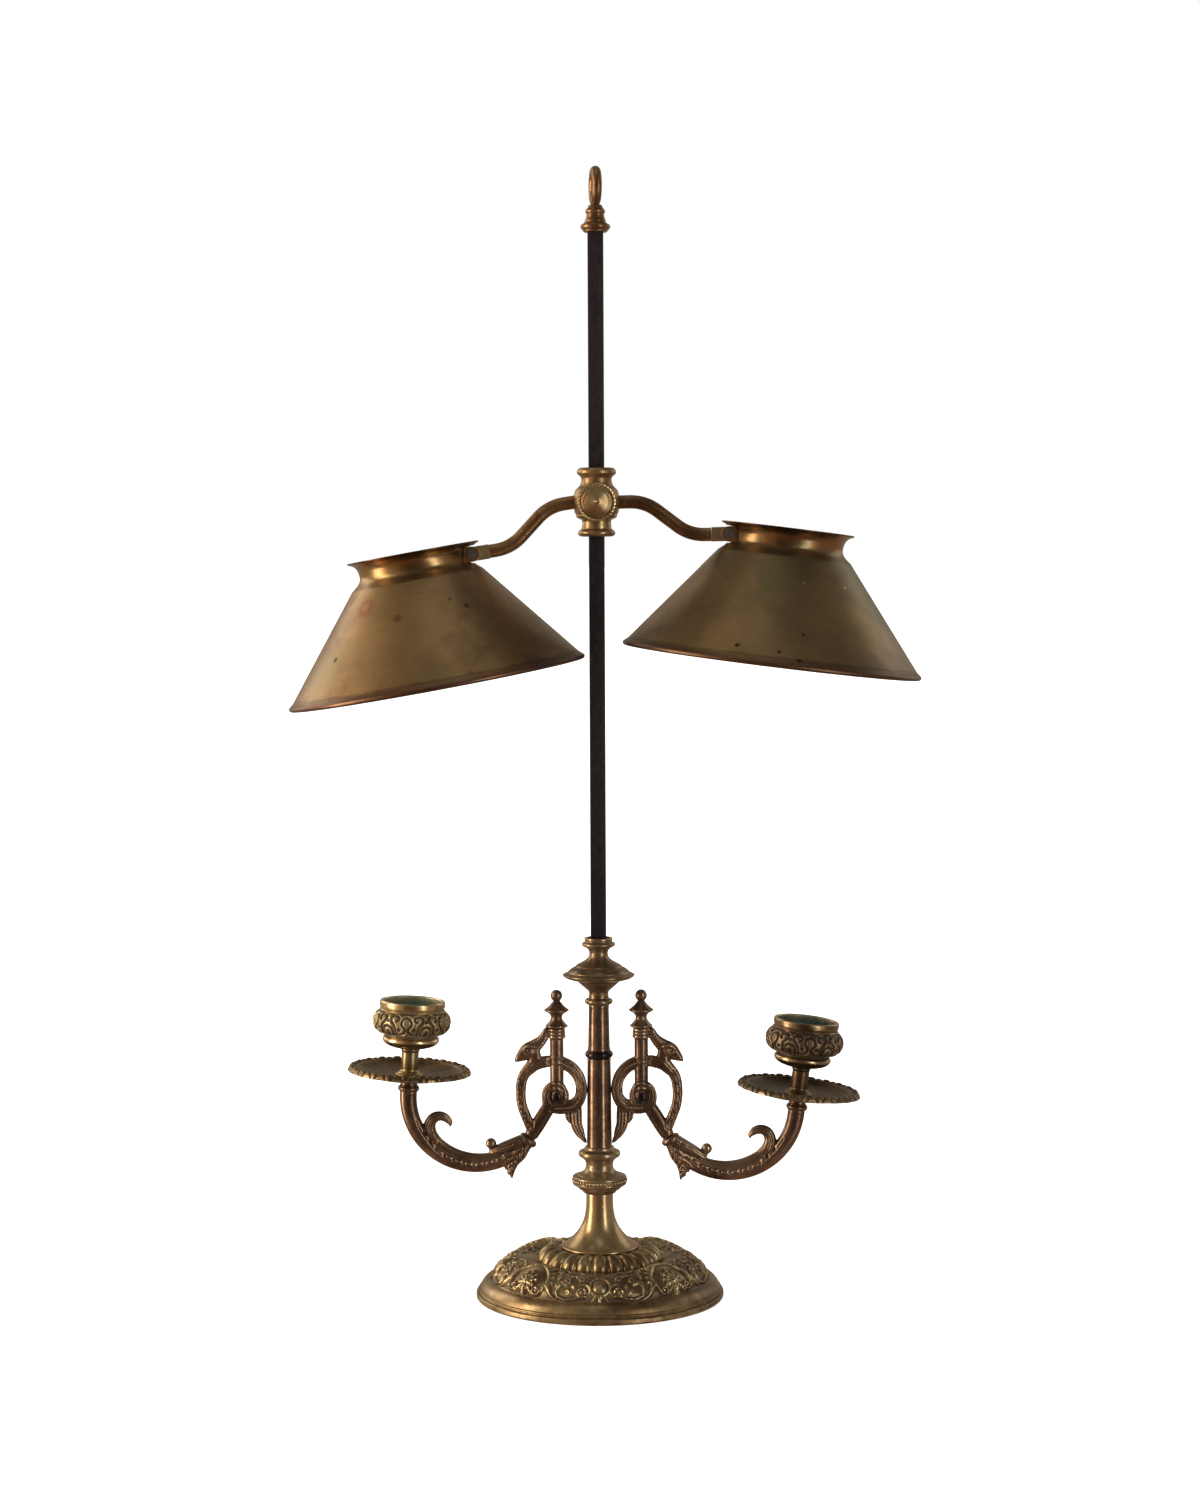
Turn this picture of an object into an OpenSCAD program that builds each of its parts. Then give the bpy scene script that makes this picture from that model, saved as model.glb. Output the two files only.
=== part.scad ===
// Two-light bouillotte lamp: a turned column on a round cast base, two scroll
// brackets with candle arms, and a slider on a square rod that carries two
// tilting cone shades. Millimetres, +Z up, origin at the centre of the base's underside.

/* [Base] */
// Outside diameter of the base
base_d = 127; // [116:1:140]
// Height of the plain rim at the foot of the base
rim_h = 3.6; // [2.5:0.1:5]
// Width of the plain rounded band inside the rim
band_w = 5.5; // [4:0.1:8]
// Height at which the crown of the dome carries the ring above it
crown_h = 17.7; // [16:0.1:20]
// Thickness of the cast wall
base_wall = 2.4; // [1.8:0.1:3]
// Gap between the dome and the gadrooned ring that stands inside it
gadroon_gap = 0.8; // [0.3:0.1:3]
// Height of the gadrooned ring
gadroon_h = 7.3; // [5:0.1:9]
// Number of gadroons, each with a dart beside it
gadroons = 22; // [16:1:30]
// How far the chased scrolls stand up from the dome
relief_h = 1.6; // [1:0.1:2.2]

/* [Foot and column] */
// Height of the trumpet foot
foot_h = 28.1; // [22:0.1:36]
// Diameter of the trumpet foot at its flange
foot_d = 40; // [34:0.5:44]
// Diameter of the trumpet foot at its neck
neck_d = 13.8; // [12:0.1:16]
// Height of the lower knop
lower_knop_h = 24.1; // [20:0.1:30]
// Diameter of the lower knop
lower_knop_d = 28.4; // [24:0.1:34]
// Length of the lower part of the column
lower_column_h = 45.4; // [42:0.1:60]
// Diameter of the lower column at its foot
lower_column_d = 12.9; // [12:0.1:14]
// Diameter of the lower column at its top
column_taper_d = 11.9; // [11:0.1:13]
// Length of the upper part of the column
upper_column_h = 23.2; // [18:0.1:40]
// Diameter of the upper column
upper_column_d = 10.6; // [9.6:0.1:11.6]
// Diameter of the two column rings
ring_d = 14.4; // [13:0.1:17]
// Height of the dark middle ring
mid_ring_h = 4.6; // [4:0.1:7]
// Height of the top ring with its neck
top_ring_h = 5.4; // [5:0.1:9]
// Height of the upper knop with its socket
upper_knop_h = 29.2; // [26:0.1:36]
// Diameter of the upper knop
upper_knop_d = 36.8; // [32:0.1:42]

/* [Rod and finial] */
// Width of the square rod
rod_w = 8; // [7:0.1:8.6]
// Length of the square rod above the upper knop
rod_l = 356.4; // [330:0.2:400]
// Depth of the square socket in the upper knop
socket_depth = 4.5; // [3:0.1:5]
// Diameter of the round lower part of the rod
tie_d = 6; // [5:0.1:6.5]
// Running clearance of the round rod in the turned pieces
tie_clearance = 0.15; // [0.05:0.05:0.3]
// Height of the rod's finial
finial_h = 13.4; // [11:0.1:18]
// Diameter of the rod's finial
finial_d = 15.6; // [13:0.1:18]
// Outside diameter of the carrying ring
lift_ring_d = 20.2; // [18:0.1:26]
// Thickness of the carrying ring
lift_ring_t = 5; // [4:0.1:5.4]
// Angle that the carrying ring is turned from the fore-and-aft line
lift_ring_turn = 7; // [0:1:20]

/* [Slider] */
// Height of the shade arms above the top of the upper knop
slider_at = 221.3; // [190:0.1:260]
// Height of the slider collar
collar_h = 34.8; // [30:0.1:40]
// Diameter of the slider collar
collar_d = 24.2; // [22:0.1:27]
// Clearance between the square rod and the collar
slide_gap = 0.15; // [0.1:0.05:0.3]
// Diameter of the round boss on the front of the collar
boss_d = 15.6; // [14:0.1:17]
// Distance from the rod's axis to the front face of the boss
boss_reach = 13.6; // [13:0.1:16]
// Diameter of the clamp screw's button
button_d = 10.6; // [9:0.1:11.4]
// Length of the clamp screw's button
button_h = 5.2; // [4:0.1:7]
// Diameter of the clamp screw's shank
clamp_d = 4; // [3:0.1:4.6]
// Thickness of the friction spring
spring_t = 0.5; // [0.4:0.05:0.7]

/* [Shade arms] */
// Diameter of the tube
tube_d = 6.8; // [6:0.1:7.4]
// Straight length at the collar
lead_l = 5; // [3:0.1:10]
// Radius of the two bends
bend_r = 22; // [16:0.5:28]
// Angle that each bend turns through
bend_a = 38.5; // [25:0.5:45]
// Straight length between the bends
mid_l = 13; // [8:0.5:20]
// Straight length at the outer end
tail_l = 3; // [1:0.1:10]
// Droop of the left arm
droop_left = 8.9; // [0:0.1:12]
// Droop of the right arm
droop_right = -1.5; // [-4:0.1:6]
// Length of the square block at the arm's end
block_l = 6.2; // [5:0.1:8]
// Height of the square block
block_h = 7.3; // [6.9:0.1:7.5]

/* [Hinges] */
// Diameter of the hinge barrel
barrel_d = 7.6; // [7:0.1:8]
// Length of the hinge barrel
barrel_l = 21.8; // [18:0.2:23]
// Diameter of the hinge pin
pin_d = 3; // [2.4:0.1:3.6]
// Running clearance of the pin in the barrel
pin_gap = 0.05; // [0.02:0.01:0.1]
// Thickness of the hinge leaf
leaf_t = 1.4; // [1:0.1:1.5]
// Gap between the barrel and the ears of the leaf
ear_gap = 0.3; // [0.2:0.1:0.5]

/* [Shades] */
// Diameter of the shade's lower edge
shade_d = 152.4; // [140:0.2:156]
// Height of the shade
shade_h = 68.2; // [62:0.1:80]
// Diameter of the shade's upper lip
lip_d = 67.6; // [64:0.1:72]
// Diameter of the shade's neck
shade_neck_d = 57.5; // [54:0.1:60]
// Depth of the neck below the lip
neck_drop = 8; // [7:0.1:10]
// Thickness of the spun sheet
sheet_t = 0.8; // [0.6:0.05:1.2]
// Diameter of the rolled lower edge
roll_d = 2.6; // [2.4:0.1:4]
// Distance of the hinge axis outside the neck
pivot_out = 1.05; // [0.8:0.05:1.6]
// Depth of the hinge axis below the lip
pivot_drop = 6.3; // [5.8:0.1:7]
// Tilt of the left shade
tilt_left = 10.2; // [6:0.1:10.4]
// Tilt of the right shade
tilt_right = 7.2; // [2:0.1:12]

/* [Scroll brackets] */
// Height of the scroll ring's centre above the foot of the column
bracket_at = 29.2; // [27:0.1:34]
// Outside diameter of the scroll ring
scroll_d = 35.8; // [33:0.1:38]
// Width of the ring's band
scroll_w = 5; // [4:0.1:6]
// Thickness of the bracket
bracket_t = 6; // [5:0.1:7]
// Diameter of the pillar
pillar_d = 7.1; // [6.4:0.1:8]
// Diameter of the capital on the pillar
capital_d = 9.8; // [9:0.1:11]
// Height of the capital
capital_h = 5.5; // [4:0.1:7]
// Height of the bracket's finial
spire_h = 19.4; // [16:0.1:24]
// Diameter of the bracket's finial
spire_d = 12.8; // [11:0.1:14]
// Diameter of the screw that holds a bracket to the column
bracket_screw_d = 2.6; // [2:0.1:3]

/* [Candle arms] */
// Radius of the arm's sweep
sweep_r = 34.6; // [32:0.1:38]
// Angle of the sweep below the level of the arm's top
sweep_a = 143.4; // [138:0.1:148]
// Diameter of the arm
candle_arm_d = 8.4; // [7.6:0.1:9.2]
// How far the left arm is raised
raise_left = 3.1; // [-7:0.1:7]
// How far the right arm is raised
raise_right = -6.5; // [-7:0.1:7]
// Straight length at the top of the arm
arm_top_l = 1.6; // [1:0.1:6]
// Thickness of the ring at the arm's root
knuckle_t = 3.4; // [2.6:0.1:4.4]
// Diameter of the ring at the arm's root
knuckle_d = 9.4; // [8.8:0.1:11]
// Diameter of the threaded stud at the arm's root
stud_d = 3.4; // [3:0.1:4]
// Height of the collar on top of the arm
arm_collar_h = 7.4; // [6:0.1:10]
// Diameter of the drip pan
pan_d = 64.4; // [56:0.2:70]
// Height of the drip pan
pan_h = 5; // [4:0.1:7]
// Thickness of the drip pan
pan_t = 1; // [0.8:0.1:1.6]
// Height of the stem under the cup
stem_h = 13.5; // [9:0.1:18]
// Diameter of the stem
stem_d = 8; // [7:0.1:10]
// Diameter of the candle cup
cup_d = 40.6; // [38:0.1:46]
// Height of the candle cup with its saucer
cup_h = 25.2; // [23:0.1:30]
// Diameter of the candle bore
candle_d = 30; // [28:0.1:31]
// Depth of the candle bore
candle_depth = 16; // [12:0.1:18]
// Diameter of the screw through the cup and the stem
cup_screw_d = 3; // [2.4:0.1:3.6]

/* [Hidden] */
$fn = 48;
LEFT = -1;
RIGHT = 1;
// Lap and step where a straight tube runs on from a bend
joint_lap = 0.4;
joint_step = 0.03;

// Radii
base_r = base_d / 2;
neck_r = neck_d / 2;
tie_r = tie_d / 2;
tie_hole_r = tie_r + tie_clearance;
tube_r = tube_d / 2;
barrel_r = barrel_d / 2;
pin_r = pin_d / 2;
shade_neck_r = shade_neck_d / 2;
scroll_r = scroll_d / 2;
candle_arm_r = candle_arm_d / 2;

// Heights of the stack on the centre line, each piece standing on the one below
gadroon_z = crown_h;
foot_z = gadroon_z + gadroon_h;
lower_knop_z = foot_z + foot_h;
lower_column_z = lower_knop_z + lower_knop_h;
mid_ring_z = lower_column_z + lower_column_h;
upper_column_z = mid_ring_z + mid_ring_h;
top_ring_z = upper_column_z + upper_column_h;
upper_knop_z = top_ring_z + top_ring_h;
knop_top_z = upper_knop_z + upper_knop_h;
rod_top_z = knop_top_z + rod_l;
slider_z = knop_top_z + slider_at;
collar_z = slider_z - collar_h / 2;

// Base: the dome is an arc that meets the band and ends at the crown
rim_step = 1.8;
band_r = 7;
band_centre = [base_r - rim_step - band_r, rim_h - 0.4];
dome_r = 17.5;
dome_from = 22;
dome_to = 120;
dome_centre = [base_r - rim_step - band_w - dome_r * cos(dome_from), crown_h - dome_r * sin(dome_to)];
crown_t = 3;
crown_edge = dome_centre[0] + dome_r * cos(dome_to);
gadroon_r = crown_edge - gadroon_gap;
washer_t = 1.6;
washer_d = 20;
nut_w = 10;
nut_h = 5;
tie_end = 2;

// Slider and clamp
hole_w = rod_w + 2 * slide_gap;
spring_room = 1.2;
spring_half = 8;
spigot_r = 2.4;
spigot_l = 4;
boss_t = 5;
rope_r = 0.9;
shoe_d = 6.4;
shoe_t = 2.4;
shoe_gap = 0.05;
shoe_front = rod_w / 2 + shoe_gap;
swivel_d = 2.4;
swivel_l = 1.2;
clamp_gap = 0.05;
button_gap = 0.1;
collar_root = collar_d / 2 - 0.4;

// Hinge and shade
notch_r = barrel_r + 0.7;
ear_y = barrel_l / 2 + ear_gap;
leaf_x = shade_neck_r - 4.6;
web_gap = 0.6;
wing_r = shade_neck_r - sheet_t;
wing_a = [25, 43];
wing_h = 7;
wing_t = 1;
rivet_a = 35;
rivet_r = 1;
rivet_seat = wing_t + 0.06;
head_t = 1;
pivot_r = shade_neck_r + pivot_out;
wire_gap = 0.05;
roll_t = 0.5;
wire_r = roll_d / 2 - roll_t - wire_gap;
shoulder_w = 5;
shoulder_h = 4.4;
// The sheet's width measured level across the cone
cone_w = sheet_t / sin(atan2(shade_h - neck_drop - shoulder_h, shade_d / 2 - shade_neck_r - shoulder_w));

// Brackets: the ring touches the column
column_r_at_ring = lower_column_d / 2
    - (lower_column_d - column_taper_d) / 2 * bracket_at / lower_column_h;
bite = 0.5;
ring_x = column_r_at_ring + scroll_r - bite;
ring_z = lower_column_z + bracket_at;
screw_seat = ring_x - scroll_r + scroll_w;
screw_head_h = 1.4;
eye = [-2, -3.1];
eye_r = 3.5;
volute_r = 8;
lobe = [-5.7, -1.1];
lobe_r = 11.9;
head_at = [11.6, 19];
head_r = 5;
pillar_top = 26.9;
strut_w = 6.8;
knuckle = [13, -25.8];
knuckle_x = ring_x + knuckle[0];
knuckle_z = ring_z + knuckle[1];

// Candle arm in its own frame, with the root ring's centre at the origin
sweep_c = [sweep_r * cos(180 - sweep_a), sweep_r * sin(180 - sweep_a)];
arm_x = sweep_c[0] + sweep_r;
arm_top = sweep_c[1] + arm_top_l;
pan_z = arm_top + arm_collar_h;
stem_z = pan_z + pan_t;
cup_z = stem_z + stem_h;
branch_r = 2.5;
branch_sweep = sweep_r - 6.3;
curl_r = 5;
curl_at = -40;
curl_end = 165;
scallops = 22;
petals = 8;
cup_head_r = 1.2 * cup_screw_d;
cup_head_h = 1.6;
cup_head_room = 0.1;
candle_floor = cup_h - candle_depth;

brass = "#9c7a3c";
dark_bronze = "#5a3f26";
iron = "#2e2624";
steel = "#8c8c88";

// Points on an arc, angles in degrees
function arc(c, r, from, to, n = 8) =
    [for (i = [0:n]) let (a = from + (to - from) * i / n) [c[0] + r * cos(a), c[1] + r * sin(a)]];

// A moulding list of [share of the swell, share of the height] at its place
function moulding(list, r0, r1, z, h) = [for (p = list) [r0 + (r1 - r0) * p[0], z + h * p[1]]];

// A hollow turned piece: an outer profile from bottom to top, around a bore
module turned(profile, bore) {
    top = profile[len(profile) - 1][1];
    rotate_extrude() polygon(concat([[bore, profile[0][1]]], profile, [[bore, top]]));
}

// A torus with its axis along Z
module torus(major, minor) {
    rotate_extrude() translate([major, 0]) circle(minor);
}

// Part of a torus in the XZ plane, from one angle to another
module bend(major, minor, from, to) {
    rotate([90, 0, 0]) rotate([0, 0, from])
        rotate_extrude(angle = to - from) translate([major, 0]) circle(minor);
}

// A straight length of tube along Z, a hair stouter than the bends it overlaps
module straight(r, l) {
    translate([0, 0, -joint_lap]) cylinder(r = r + joint_step, h = l + 2 * joint_lap);
}

// A cylinder along Y
module y_rod(r, y0, y1) {
    translate([0, y0, 0]) rotate([-90, 0, 0]) cylinder(r = r, h = y1 - y0);
}

// A flat shape in the XZ plane, centred on the Y = 0 plane
module plate(t) {
    rotate([90, 0, 0]) linear_extrude(t, center = true) children();
}

// Whatever is drawn for the right-hand side, on either side
module on_side(side) {
    mirror([side == LEFT ? 1 : 0, 0, 0]) children();
}

// ---- base ----

module dome_profile(inset) {
    polygon(concat(
        [[0, 0], [base_r - inset, 0], [base_r - inset, rim_h - inset / 2]],
        arc(band_centre, band_r - inset, 5, 78),
        arc(dome_centre, dome_r - inset, dome_from, dome_to, 12),
        [[0, crown_h - inset]]));
}

// One pair of chased C scrolls with the boss between them, in a frame that
// lies on the dome with its Z outwards
module scroll_pair() {
    sink = 0.6;
    for (s = [-1, 1]) {
        translate([1.5, s * 9.5, -sink]) rotate([0, 0, s * 35]) torus(4.6, relief_h);
        translate([-3, s * 4.4, -sink]) torus(3, relief_h * 0.8);
    }
    translate([2, 0, -4]) sphere(4 + relief_h);
}

module base_shell() {
    lift = 65;
    color(brass) difference() {
        union() {
            rotate_extrude() dome_profile(0);
            for (a = [45:90:315])
                rotate([0, 0, a]) translate([dome_centre[0], 0, dome_centre[1]])
                    rotate([0, 90 - lift, 0]) translate([0, 0, dome_r]) scroll_pair();
        }
        difference() {
            translate([0, 0, -1]) rotate_extrude() union() {
                square([base_r - base_wall, 1.01]);
                translate([0, 1]) dome_profile(base_wall);
            }
            translate([0, 0, crown_h - crown_t]) cylinder(r = crown_edge, h = crown_t);
        }
        cylinder(r = tie_hole_r, h = crown_h + 1);
    }
}

module gadroon_ring() {
    period = 2 * PI * gadroon_r / gadroons;
    lobe_r = period * 0.34;
    dart_r = period * 0.14;
    bore_r = foot_d / 2 - 8;
    ring_profile = concat([[gadroon_r, gadroon_z]],
        arc([gadroon_r - gadroon_h, gadroon_z], gadroon_h, 0, 90),
        [[bore_r + 2, foot_z]]);
    color(brass) intersection() {
        turned(ring_profile, bore_r);
        translate([0, 0, gadroon_z]) linear_extrude(gadroon_h) union() {
            circle(gadroon_r - lobe_r);
            for (i = [0:gadroons - 1]) {
                rotate(360 * i / gadroons) translate([gadroon_r - lobe_r, 0]) circle(lobe_r);
                rotate(360 * (i + 0.5) / gadroons) translate([gadroon_r - 2 * lobe_r, -dart_r])
                    square([2 * lobe_r - dart_r, 2 * dart_r]);
            }
        }
    }
}

// ---- foot and column ----

module trumpet_foot() {
    flange_t = 1.5;
    steps = 14;
    flare = [for (i = [0:steps]) let (t = i / steps)
        [neck_r + (foot_d / 2 - 1.6 - neck_r) * pow(1 - t, 3.6),
         foot_z + flange_t + (foot_h - flange_t) * t]];
    color(brass) turned(concat([[foot_d / 2, foot_z], [foot_d / 2, foot_z + flange_t]], flare), tie_hole_r);
}

module lower_knop() {
    edge_r = 1.5;
    body = [[0.06, 0], [0.30, 0.05], [0.58, 0.13], [0.66, 0.19], [0.86, 0.22], [0.86, 0.33],
            [0.52, 0.40], [0.16, 0.48], [0.02, 0.56], [0, 0.62], [0.04, 0.68], [0.2, 0.76],
            [0.22, 0.8], [0.34, 0.82], [0.34, 0.92], [0.1, 0.94], [0.1, 1]];
    color(brass) difference() {
        union() {
            turned(moulding(body, neck_r, lower_knop_d / 2, lower_knop_z, lower_knop_h), tie_hole_r);
            translate([0, 0, lower_knop_z + 0.27 * lower_knop_h]) torus(lower_knop_d / 2 - edge_r, edge_r);
            translate([0, 0, lower_knop_z + 0.87 * lower_knop_h])
                torus(neck_r + 0.5 * (lower_knop_d / 2 - neck_r) - edge_r, edge_r);
        }
        translate([0, 0, lower_knop_z - 1]) cylinder(r = tie_hole_r, h = lower_knop_h + 2);
    }
}

// The outside of the lower column, which the brackets are cut to
module column_outside() {
    translate([0, 0, lower_column_z])
        cylinder(r1 = lower_column_d / 2, r2 = column_taper_d / 2, h = lower_column_h);
}

module lower_column() {
    color(brass) difference() {
        column_outside();
        translate([0, 0, lower_column_z - 1]) cylinder(r = tie_hole_r, h = lower_column_h + 2);
        for (side = [LEFT, RIGHT])
            on_side(side) bracket_screw_hole();
    }
}

// A ring bead on a short sleeve
module ring_sleeve(z, h, bead_z, bead_r, sleeve_r) {
    difference() {
        union() {
            translate([0, 0, z]) cylinder(r = sleeve_r, h = h);
            translate([0, 0, bead_z]) torus(ring_d / 2 - bead_r, bead_r);
        }
        translate([0, 0, z - 1]) cylinder(r = tie_hole_r, h = h + 2);
    }
}

module column_mid_ring() {
    color(iron) ring_sleeve(mid_ring_z, mid_ring_h, mid_ring_z + mid_ring_h / 2, 1.8, column_taper_d / 2);
}

module upper_column() {
    lip = [[0.5, 0], [0.5, 0.03], [0.25, 0.06], [0, 1]];
    color(brass) turned(moulding(lip, upper_column_d / 2 - 0.2, column_taper_d / 2,
        upper_column_z, upper_column_h), tie_hole_r);
}

module column_top_ring() {
    color(brass) ring_sleeve(top_ring_z, top_ring_h, top_ring_z + 1.8, 1.7, upper_column_d / 2);
}

module upper_knop() {
    body = [[0, 0], [0.1, 0.06], [0.3, 0.15], [0.66, 0.22], [0.93, 0.28], [1, 0.32], [1, 0.355],
            [0.94, 0.37], [0.74, 0.42], [0.68, 0.44], [0.42, 0.52], [0.15, 0.6], [0.02, 0.66],
            [0, 0.73], [0.12, 0.79], [0.2, 0.84], [0.26, 0.87], [0.26, 0.93], [0.16, 0.95], [0.16, 1]];
    waist_r = 5;
    color(brass) difference() {
        turned(moulding(body, waist_r, upper_knop_d / 2, upper_knop_z, upper_knop_h), tie_hole_r);
        translate([-rod_w / 2, -rod_w / 2, knop_top_z - socket_depth]) cube([rod_w, rod_w, socket_depth + 1]);
    }
}

// ---- rod, its fastening and its finial ----

module centre_rod() {
    stud_l = finial_h * 0.4;
    socket_z = knop_top_z - socket_depth;
    color(iron) union() {
        translate([-rod_w / 2, -rod_w / 2, socket_z]) cube([rod_w, rod_w, rod_top_z - socket_z]);
        translate([0, 0, tie_end]) cylinder(r = tie_r, h = socket_z - tie_end);
        translate([0, 0, rod_top_z]) cylinder(r = stud_d / 2, h = stud_l);
    }
}

module tie_washer() {
    color(steel) translate([0, 0, crown_h - crown_t - washer_t]) difference() {
        cylinder(d = washer_d, h = washer_t);
        translate([0, 0, -1]) cylinder(r = tie_hole_r, h = washer_t + 2);
    }
}

module tie_nut() {
    color(steel) translate([0, 0, crown_h - crown_t - washer_t - nut_h]) difference() {
        cylinder(r = nut_w / 2 / cos(30), h = nut_h, $fn = 6);
        translate([0, 0, -1]) cylinder(r = tie_r, h = nut_h + 2);
    }
}

module lift_ring_body() {
    translate([0, 0, rod_top_z + finial_h + lift_ring_d / 2 - 0.5])
        rotate([0, 0, lift_ring_turn]) rotate([0, 90, 0])
            torus((lift_ring_d - lift_ring_t) / 2, lift_ring_t / 2);
}

module rod_finial() {
    body = [[0, 0], [0.42, 0.08], [0.5, 0.16], [0.72, 0.24], [1, 0.38], [0.9, 0.48], [0.42, 0.6],
            [0.04, 0.68], [0, 0.78], [0.34, 0.84], [0.4, 0.92], [0.34, 1]];
    stud_l = finial_h * 0.4;
    color(brass) difference() {
        rotate_extrude() polygon(concat([[0, rod_top_z]],
            moulding(body, 4, finial_d / 2, rod_top_z, finial_h), [[0, rod_top_z + finial_h]]));
        translate([0, 0, rod_top_z - 1]) cylinder(r = stud_d / 2, h = stud_l + 1);
        lift_ring_body();
    }
}

module finial_ring() {
    color(brass) lift_ring_body();
}

// ---- slider ----

module slider_collar() {
    body = [[0, 0], [0.58, 0.05], [0.66, 0.1], [0.3, 0.15], [0.28, 0.22], [0.36, 0.25], [0.72, 0.28],
            [0.92, 0.32], [1, 0.38], [1, 0.62], [0.92, 0.69], [0.6, 0.74], [0.34, 0.78], [0.32, 0.83],
            [0.46, 0.86], [0.7, 0.88], [0.72, 0.92], [0.5, 0.96], [0.3, 1]];
    hole = [-hole_w / 2, -hole_w / 2, collar_z - 1];
    color(brass) difference() {
        union() {
            rotate_extrude() polygon(concat([[0, collar_z]],
                moulding(body, 6.3, collar_d / 2, collar_z, collar_h), [[0, collar_z + collar_h]]));
            translate([0, 0, slider_z]) y_rod(boss_d / 2, -boss_reach + boss_t, 0);
        }
        translate(hole) cube([hole_w, hole_w, collar_h + 2]);
        translate([-hole_w / 2, 0, slider_z - spring_half - 1])
            cube([hole_w, hole_w / 2 + spring_room, 2 * spring_half + 2]);
        translate([0, 0, slider_z]) {
            y_rod(boss_d / 2, -boss_reach - 1, -boss_reach + boss_t);
            y_rod(shoe_d / 2 + clamp_gap, -boss_reach, 0);
        }
        for (side = [LEFT, RIGHT]) on_side(side) arm_frame(side) spigot();
    }
}

module slider_boss() {
    color(brass) translate([0, 0, slider_z]) difference() {
        union() {
            y_rod(boss_d / 2, -boss_reach, -boss_reach + boss_t);
            translate([0, -boss_reach + rope_r + 0.4, 0]) rotate([90, 0, 0]) torus(boss_d / 2, rope_r);
            y_rod(shoe_d / 2, -boss_reach + boss_t, -shoe_front - shoe_t - 1);
        }
        y_rod(clamp_d / 2 + clamp_gap, -boss_reach - 1, 0);
    }
}

// A bowed strip behind the rod, which keeps the slider where it is put
module friction_spring() {
    back = hole_w / 2 + spring_room - shoe_gap;
    front = rod_w / 2 + shoe_gap;
    bow = back - front - spring_t;
    r = (spring_half * spring_half + bow * bow) / (2 * bow);
    color(steel) translate([-rod_w * 0.35, 0, slider_z]) rotate([90, 0, 90])
        linear_extrude(rod_w * 0.7) intersection() {
            translate([front + r, 0]) difference() {
                circle(r);
                circle(r - spring_t);
            }
            translate([front - 1, -spring_half]) square([back - front + 1, 2 * spring_half]);
        }
}

module clamp_shoe() {
    color(brass) translate([0, 0, slider_z]) difference() {
        y_rod(shoe_d / 2, -shoe_front - shoe_t, -shoe_front);
        y_rod(swivel_d / 2 + clamp_gap, -shoe_front - shoe_t - 1, -shoe_front - shoe_t + swivel_l + clamp_gap);
    }
}

module clamp_screw() {
    shoulder = -boss_reach - button_gap;
    color(brass) translate([0, 0, slider_z]) union() {
        y_rod(clamp_d / 2, shoulder, -shoe_front - shoe_t);
        y_rod(swivel_d / 2, shoulder, -shoe_front - shoe_t + swivel_l);
        translate([0, shoulder, 0]) rotate([90, 0, 0]) rotate_extrude()
            polygon(concat([[0, 0]], [[button_d / 2, 0], [button_d / 2, 1]],
                arc([button_d / 2, button_h], button_h - 1, 262, 190), [[0.9, button_h], [0, button_h]]));
    }
}

// ---- shade arms ----

// Frame of one arm: origin at its root, X along the arm as it leaves the collar
module arm_frame(side) {
    droop = side == LEFT ? droop_left : droop_right;
    translate([collar_root, 0, slider_z]) rotate([0, droop, 0]) children();
}

// The arm's root: a spigot in the collar's side, and the tube as far as it is let in
module spigot() {
    translate([-spigot_l, 0, 0]) rotate([0, 90, 0]) cylinder(r = spigot_r, h = spigot_l);
    rotate([0, 90, 0]) straight(tube_r, 1);
}

bend_x = 2 * bend_r * sin(bend_a) + mid_l * cos(bend_a);
bend_z = 2 * bend_r * (1 - cos(bend_a)) + mid_l * sin(bend_a);
tail_x = lead_l + bend_x;
hinge_x = tail_x + tail_l + block_l + barrel_r - 1.2;

module shade_arm(side) {
    color(brass) on_side(side) arm_frame(side) difference() {
        union() {
            spigot();
            rotate([0, 90, 0]) straight(tube_r, lead_l);
            translate([lead_l, 0, -bend_r]) bend(bend_r, tube_r, 90 - bend_a, 90);
            translate([lead_l + bend_r * sin(bend_a), 0, -bend_r * (1 - cos(bend_a))])
                rotate([0, 90 + bend_a, 0]) straight(tube_r, mid_l);
            translate([tail_x, 0, -bend_z + bend_r]) bend(bend_r, tube_r, 270 - bend_a, 270);
            translate([tail_x, 0, -bend_z]) rotate([0, 90, 0]) straight(tube_r, tail_l);
        }
        translate([tail_x + tail_l, -tube_d, -bend_z - tube_d]) cube(2 * tube_d);
    }
}

// The square block and the barrel that the shade turns on
module hinge_block(side) {
    color(brass) on_side(side) arm_frame(side) translate([hinge_x, 0, -bend_z]) difference() {
        union() {
            y_rod(barrel_r, -barrel_l / 2, barrel_l / 2);
            translate([-hinge_x + tail_x + tail_l, -block_h / 2, -block_h / 2])
                cube([hinge_x - tail_x - tail_l, block_h, block_h]);
        }
        y_rod(pin_r + pin_gap, -barrel_l, barrel_l);
    }
}

// ---- shades ----

// Frame of one shade: origin at the hinge axis, Z along the shade's axis
module shade_frame(side) {
    droop = side == LEFT ? droop_left : droop_right;
    tilt = side == LEFT ? tilt_left : tilt_right;
    on_side(side) arm_frame(side) translate([hinge_x, 0, -bend_z])
        rotate([0, tilt - droop, 0]) children();
}

// The same frame moved to the centre of the shade's lip
module shade_centre() {
    translate([pivot_r, 0, pivot_drop]) children();
}

module hinge_pin(side) {
    y1 = ear_y + leaf_t;
    color(steel) shade_frame(side) union() {
        y_rod(pin_r, -y1, y1);
        y_rod(pin_r + 0.9, y1, y1 + head_t);
        y_rod(pin_r + 0.9, -y1 - head_t, -y1);
    }
}

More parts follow.
